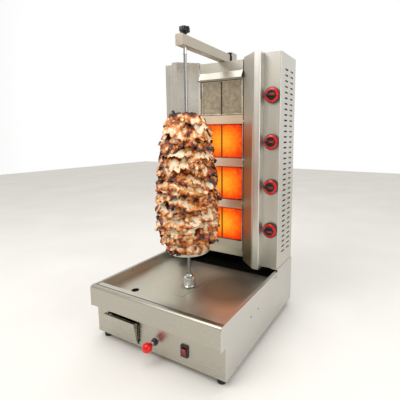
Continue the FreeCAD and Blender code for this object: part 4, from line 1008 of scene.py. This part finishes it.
class BROILER_OT_meat(Operator):
    """Stack ragged slices of meat round the spit, from broad ones to loose scraps, over a core painted dark as
    the shade between them
    """
    bl_idname = "broiler.meat"
    bl_label = "Stack of sliced meat"

    def execute(self, context):
        settings = context.scene.broiler_meat
        random = np.random.RandomState(settings.seed)
        heights, radii = meat_outline()
        bottom, top = heights[0], heights[-1]
        slices = [meat_slice(random, "slice_%d" % k, settings, max(radii), random.uniform(1.1, 2.1),
                             settings.slice_height * random.uniform(0.85, 1.2)) for k in range(9)]
        scraps = [meat_slice(random, "scrap_%d" % k, settings, max(radii), random.uniform(0.3, 0.55),
                             settings.slice_height * random.uniform(0.6, 1.0), (12, 5)) for k in range(4)]
        points = []
        lowest = bottom + 0.35 * settings.slice_height
        step = (top - bottom - 0.4 * settings.slice_height) / settings.levels
        for level in range(settings.levels):
            for k in range(settings.around):
                z = lowest + step * (level + random.uniform(-0.3, 0.3))
                yaw = 2.0 * math.pi * (k + random.uniform(-0.2, 0.2)) / settings.around + LEVEL_TURN * level
                pick = random.randint(len(slices))
                points.append(self.place(random, z, yaw, pick, heights, radii, SLICE_TILT))
        for k in range(settings.scraps):
            z = random.uniform(bottom + 0.01, top - 0.02)
            yaw = random.uniform(0.0, 2.0 * math.pi)
            pick = len(slices) + random.randint(len(scraps))
            points.append(self.place(random, z, yaw, pick, heights, radii, SCRAP_TILT))
        # Two flakes stand up at the top, left of the spit.
        upright = (SPIT.x - 0.020, SPIT.y - 0.012, top - 0.004)
        points += [(upright, (lean, lean, 3.6), (0.26, 0.26, 0.9), 2, 0.5) for lean in (0.0, SCRAP_TILT)]
        stack = scatter("roast_slices", slices + scraps, points, "roast_meat",
                        settings.broad_crumple, settings.fine_crumple, float(settings.seed))
        for vertex in stack.vertices:
            vertex.co.z = min(max(vertex.co.z, bottom), top + 0.012)
        piece("roast_slices", smooth(stack), "meat_stack")
        core = [(0.0, bottom)] + [(0.8 * r, z) for z, r in zip(heights, radii)] + [(0.0, top - 0.003)]
        core[-2] = (0.5 * core[-3][0], top - 0.004)
        vertices, faces = lathe(core, 48)
        inner = to_mesh("meat_core", [(vertices, faces, at((SPIT.x, SPIT.y, 0.0)))], "roast_meat")
        # Painted shade: the core is set dark to stand for the shade between the slices.
        for attribute, value in (("deep", 0.6), ("tone", 0.6), ("roast", 0.4)):
            values = [value] * len(inner.vertices)
            inner.attributes.new(attribute, "FLOAT", "POINT").data.foreach_set("value", values)
        piece("meat_core", inner, "meat_stack", "meat")
        return {"FINISHED"}

    @staticmethod
    def place(random, z, yaw, pick, heights, radii, tilt):
        """Where one slice goes, as scatter() takes it: on the stack's outline, drawn in above the disc."""
        radius = max(float(np.interp(z + HANG, heights, radii)), LEAST_RADIUS)
        size = radius / max(radii) * random.uniform(0.95, 1.035)
        size *= float(np.interp(z, (heights[0], heights[0] + DRAWN_IN), (DRAWN_IN_SHARE, 1.0)))
        turn = (random.uniform(-tilt, tilt), random.uniform(-tilt, tilt), yaw)
        tall = random.uniform(0.85, 1.15)
        return (SPIT.x, SPIT.y, z), turn, (size, size, tall), pick, random.uniform(-0.65, 1.2)


class BROILER_OT_knobs(Operator):
    """Turn the four burner knobs: black skirt and grip bar, red ring and red pointer"""
    bl_idname = "broiler.knobs"
    bl_label = "Burner knobs"

    def execute(self, context):
        settings = context.scene.broiler_knob
        for node in KNOBS:
            number = node[-1]
            place = middle(node)
            place.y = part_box("push_collar_" + number)[0].y - 0.3 * MM
            facing = at(place, TO_COOK)
            skirt = lathe(millimetres(
                (0.0, 0.0), (28.2, 0.0), (29.0, 0.8), (29.0, 4.6), (28.3, 6.2), (26.0, 6.6), (19.0, 7.6),
                (18.4, 9.0), (17.6, 13.0), (16.6, 14.0), (0.0, 14.0)), 72)
            half, wide = settings.grip_half / MM, settings.grip_width / 2.0 / MM
            bar = rounded_box(*millimetres((-half, -wide, 9.0), (half, wide, 23.4)), 2.0 * MM, 4)
            stem = lathe(millimetres((0.0, -26.0), (4.0, -26.0), (4.0, 0.5), (0.0, 0.5)), 24)
            grip = [(*part, facing) for part in (skirt, bar, stem)]
            piece("knob_grip_" + number, to_mesh("knob_grip_" + number, grip, "black_phenolic"), node)
            hoop = lathe(millimetres(
                (26.4, 5.6), (26.4, 6.9), (25.8, 7.4), (19.2, 10.2), (18.2, 10.2), (17.9, 9.4), (17.9, 7.0),
                (26.4, 5.6)), 72)
            pointer = rounded_box(*millimetres((0.0, -1.7, 22.9), (half - 0.4, 1.7, 24.0)), 0.3 * MM, 2)
            tip = rounded_box(*millimetres((half + 0.4, -1.3, 9.0), (26.0, 1.3, 11.0)), 0.4 * MM, 2)
            ring = [(*part, facing) for part in (hoop, pointer, tip)]
            piece("knob_ring_" + number, to_mesh("knob_ring_" + number, ring, "red_knob_paint"), node,
                  "red_ball_plastic")
        return {"FINISHED"}


class BROILER_OT_spit_fittings(Operator):
    """Turn the fluted spit coupling and the lobed clamp knob"""
    bl_idname = "broiler.spit_fittings"
    bl_label = "Spit coupling and clamp knob"

    def execute(self, context):
        low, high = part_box("drive_coupling")
        tall = (high.z - low.z) / MM
        profile = millimetres(
            (5.7, 0.0), (21.6, 0.0), (22.0, 0.4), (22.0, 5.6), (19.6, 8.4), (20.4, 9.6), (20.5, 33.6),
            (19.9, 35.4), (18.4, 36.6), (12.9, 38.6), (12.5, 39.6), (12.5, 44.6), (10.6, 47.6), (9.9, tall),
            (5.7, tall), (5.7, 0.0))
        flutes = 12

        def fluted(angle, radius, height):
            cut = 1.9 * MM * max(math.cos(flutes * angle), 0.0) ** 2
            return radius - cut if 9.0 * MM < height < 36.0 * MM and radius > 15.0 * MM else radius

        turned = lathe(profile, 12 * flutes, fluted)
        place = at((SPIT.x, SPIT.y, low.z))
        piece("fluted_coupling", to_mesh("fluted_coupling", [(*turned, place)], "chrome"), "drive_coupling")
        self.clamp()
        return {"FINISHED"}

    @staticmethod
    def clamp():
        low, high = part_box("clamp_knob")
        tall = (high.z - low.z) / MM
        hub = tall - 22.0
        lobes = 6

        def lobed(angle, radius, height):
            return radius + 1.7 * MM * math.cos(lobes * angle) if radius > 12.5 * MM else radius

        knob = lathe(millimetres(
            (0.0, 0.0), (4.0, 0.0), (4.0, hub), (8.5, hub), (12.0, hub + 4.0), (14.6, hub + 5.0),
            (17.2, hub + 7.4), (17.2, tall - 4.0), (15.6, tall - 1.2), (12.9, tall - 0.3), (8.0, tall),
            (6.6, tall - 1.0), (0.0, tall - 1.0)), 72, lobed)
        mesh = to_mesh("lobed_clamp_knob", [(*knob, at((SPIT.x, SPIT.y, low.z)))], "black_phenolic")
        piece("lobed_clamp_knob", mesh, "clamp_knob")


class BROILER_OT_ball_knob(Operator):
    """Mould the red ball on the pull rod"""
    bl_idname = "broiler.ball_knob"
    bl_label = "Red ball knob"

    def execute(self, context):
        low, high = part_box("ball_knob")
        radius = (high.x - low.x) / 2.0
        depth = high.y - low.y
        profile = [(0.0, depth)]
        for k in range(1, 24):
            a = math.pi * k / 24.0
            height = depth - radius + radius * math.cos(a)
            if radius * math.sin(a) < 8.0 * MM and k > 12:
                break
            profile.append((radius * math.sin(a), height))
        profile += [(8.0 * MM, 0.8 * MM), (7.4 * MM, 0.0), (0.0, 0.0)]
        ball = lathe(profile, 64)
        place = at((middle("ball_knob").x, high.y, middle("ball_knob").z), TO_COOK)
        piece("red_ball", to_mesh("red_ball", [(*ball, place)], "red_phenolic"), "ball_knob")
        return {"FINISHED"}


def clusters(node, reach):
    """Boxes of a node's separate solids, found by gathering vertices that lie close together."""
    boxes = []
    for vertex in frame["nodes"][node].data.vertices:
        spot = vertex.co
        for box in boxes:
            if all(box[0][i] - reach < spot[i] < box[1][i] + reach for i in range(3)):
                for i in range(3):
                    box[0][i] = min(box[0][i], spot[i])
                    box[1][i] = max(box[1][i], spot[i])
                break
        else:
            boxes.append((spot.copy(), spot.copy()))
    return boxes


class BROILER_OT_feet(Operator):
    """Mould the four rubber feet, with two grip rings round each"""
    bl_idname = "broiler.feet"
    bl_label = "Rubber feet"

    def execute(self, context):
        feet = []
        for low, high in clusters("feet", 30.0 * MM):
            radius = (high.x - low.x) / 2.0
            tall = high.z - low.z
            profile = [(0.0, 0.0), (radius - 3.0 * MM, 0.0), (radius - 1.2 * MM, 1.4 * MM),
                       (radius - 0.8 * MM, 0.3 * tall), (radius - 1.6 * MM, 0.36 * tall),
                       (radius - 0.5 * MM, 0.42 * tall), (radius - 0.4 * MM, 0.62 * tall),
                       (radius - 1.3 * MM, 0.68 * tall), (radius, 0.74 * tall), (radius, tall), (0.0, tall)]
            feet.append((*lathe(profile, 48), at(((low.x + high.x) / 2.0, (low.y + high.y) / 2.0, low.z))))
        piece("ribbed_feet", to_mesh("ribbed_feet", feet, "rubber"), "feet")
        return {"FINISHED"}


class BROILER_OT_screws(Operator):
    """Set a cross-head screw wherever the panels are screwed down"""
    bl_idname = "broiler.screws"
    bl_label = "Panel screws"

    def execute(self, context):
        def cross(angle, radius, height):
            return radius * (0.3 + 0.7 * abs(math.cos(2.0 * angle)) ** 4) if radius < 0.6 else radius

        profile = [(0.0, 0.0), (0.96, 0.0), (1.0, 0.1), (0.96, 0.45), (0.8, 0.8), (0.62, 0.95), (0.55, 1.0),
                   (0.5, 0.4), (0.0, 0.35)]
        head = to_mesh("screw_head", [(*lathe(profile, 24, cross), UPRIGHT)])
        points = []
        inside = (CAD_BOX[0] + CAD_BOX[1]) / 2.0
        random = np.random.RandomState(3)
        for low, high in clusters("panel_screws", 2.0 * MM):
            extent = high - low
            axis = min(range(3), key=lambda i: extent[i])
            facing = Vector((0.0, 0.0, 0.0))
            spot = (low + high) / 2.0
            facing[axis] = 1.0 if spot[axis] > inside[axis] else -1.0
            spot[axis] = low[axis] if facing[axis] > 0.0 else high[axis]
            spin = Matrix.Rotation(random.uniform(0.0, math.pi / 2.0), 4, "Z")
            lean = Vector((0.0, 0.0, 1.0)).rotation_difference(facing).to_matrix().to_4x4()
            turn = (lean @ spin).to_euler()
            radius = max(extent) / 2.0
            points.append((spot, tuple(turn), (radius, radius, extent[axis]), 0, 0.0))
        heads = scatter("cross_head_screws", [head], points, "turned_steel")
        piece("cross_head_screws", smooth(heads), "panel_screws")
        return {"FINISHED"}


class BROILER_OT_stage(Operator):
    """Set the pale floor, the soft lights, the surroundings and the camera"""
    bl_idname = "broiler.stage"
    bl_label = "Floor, lights and camera"

    def execute(self, context):
        scene = context.scene
        settings = scene.broiler_stage
        floor = bpy.data.meshes.new("floor")
        floor.from_pydata([(-6, -6, 0), (6, -6, 0), (6, 6, 0), (-6, 6, 0)], [], [(0, 1, 2, 3)])
        pale, dark = shade(settings.floor, 1.02), shade(settings.floor, 0.96)
        paint = patterned("painted_floor", {"Roughness": 0.6}, ((400.0,), (0.3, dark), (0.7, pale)))
        floor.materials.append(paint)
        ground = bpy.data.objects.new("floor", floor)
        scene.collection.objects.link(ground)
        self.surroundings(scene)
        self.light("key", (-1.0, -1.9, 2.7), 1.8, settings.key_power)
        self.light("side", (2.4, -0.6, 1.2), 1.4, settings.side_power)
        self.light("overhead", (0.0, -0.4, 2.6), 1.6, settings.top_power)
        camera = bpy.data.cameras.new("camera")
        camera.lens = settings.lens
        camera.sensor_width = 36.0
        camera.shift_x = settings.shift_x
        camera.shift_y = settings.shift_y
        eye = bpy.data.objects.new("camera", camera)
        eye.location = settings.eye
        eye.rotation_euler = (math.radians(90.0) - settings.tilt, 0.0, settings.turn)
        scene.collection.objects.link(eye)
        scene.camera = eye
        scene.view_settings.view_transform = "Standard"
        return {"FINISHED"}

    @staticmethod
    def surroundings(scene):
        world = bpy.data.worlds.new("surroundings")
        scene.world = world
        world.use_nodes = True
        tree = world.node_tree
        tree.nodes.clear()
        direction = add(tree, SPLIT, [add(tree, "ShaderNodeTexCoord").outputs["Generated"]])
        ramp = add(tree, RAMP, [add(tree, RANGE, [direction.outputs["Y"], -0.8, 0.8, 0.0, 1.0])])
        set_stops(ramp, (0.0, linear("#B8B2A6")), (0.45, linear("#C9C6BF")), (0.8, linear("#FFFFFF")))
        add(tree, "ShaderNodeOutputWorld", [add(tree, "ShaderNodeBackground", [ramp, 1.0])])

    @staticmethod
    def light(name, place, size, power):
        lamp = bpy.data.lights.new(name, "AREA")
        lamp.size = size
        lamp.energy = power
        thing = bpy.data.objects.new(name, lamp)
        thing.location = place
        aim = Vector((0.0, 0.0, 0.5)) - Vector(place)
        thing.rotation_euler = aim.to_track_quat("-Z", "Y").to_euler()
        thing.visible_camera = False
        bpy.context.scene.collection.objects.link(thing)


# ---------------------------------------------------------------- panel and running

OPERATORS = (BROILER_OT_cad_finishes, BROILER_OT_wire_screens, BROILER_OT_plaques, BROILER_OT_meat,
             BROILER_OT_knobs, BROILER_OT_spit_fittings, BROILER_OT_ball_knob, BROILER_OT_feet,
             BROILER_OT_screws, BROILER_OT_stage)
SETTINGS = {"broiler_metal": BROILER_PG_metal, "broiler_burner": BROILER_PG_burner,
            "broiler_meat": BROILER_PG_meat, "broiler_knob": BROILER_PG_knob, "broiler_stage": BROILER_PG_stage}


class BROILER_PT_looks(Panel):
    """Lists the settings and the steps that dress the broiler"""
    bl_idname = "BROILER_PT_looks"
    bl_label = "Vertical Broiler"
    bl_space_type = "VIEW_3D"
    bl_region_type = "UI"
    bl_category = "Broiler"

    def draw(self, context):
        for name, group in SETTINGS.items():
            box = self.layout.box()
            for key in group.__annotations__:
                box.prop(getattr(context.scene, name), key)
        for operator in OPERATORS:
            self.layout.operator(operator.bl_idname)


CLASSES = (*SETTINGS.values(), *OPERATORS, BROILER_PT_looks)


def register():
    for item in CLASSES:
        bpy.utils.register_class(item)
    for name, group in SETTINGS.items():
        setattr(bpy.types.Scene, name, PointerProperty(type=group))


def unregister():
    for name in SETTINGS:
        delattr(bpy.types.Scene, name)
    for item in reversed(CLASSES):
        bpy.utils.unregister_class(item)


def main():
    register()
    for operator in OPERATORS:
        group, name = operator.bl_idname.split(".")
        getattr(getattr(bpy.ops, group), name)()


if __name__ == "__main__":
    main()
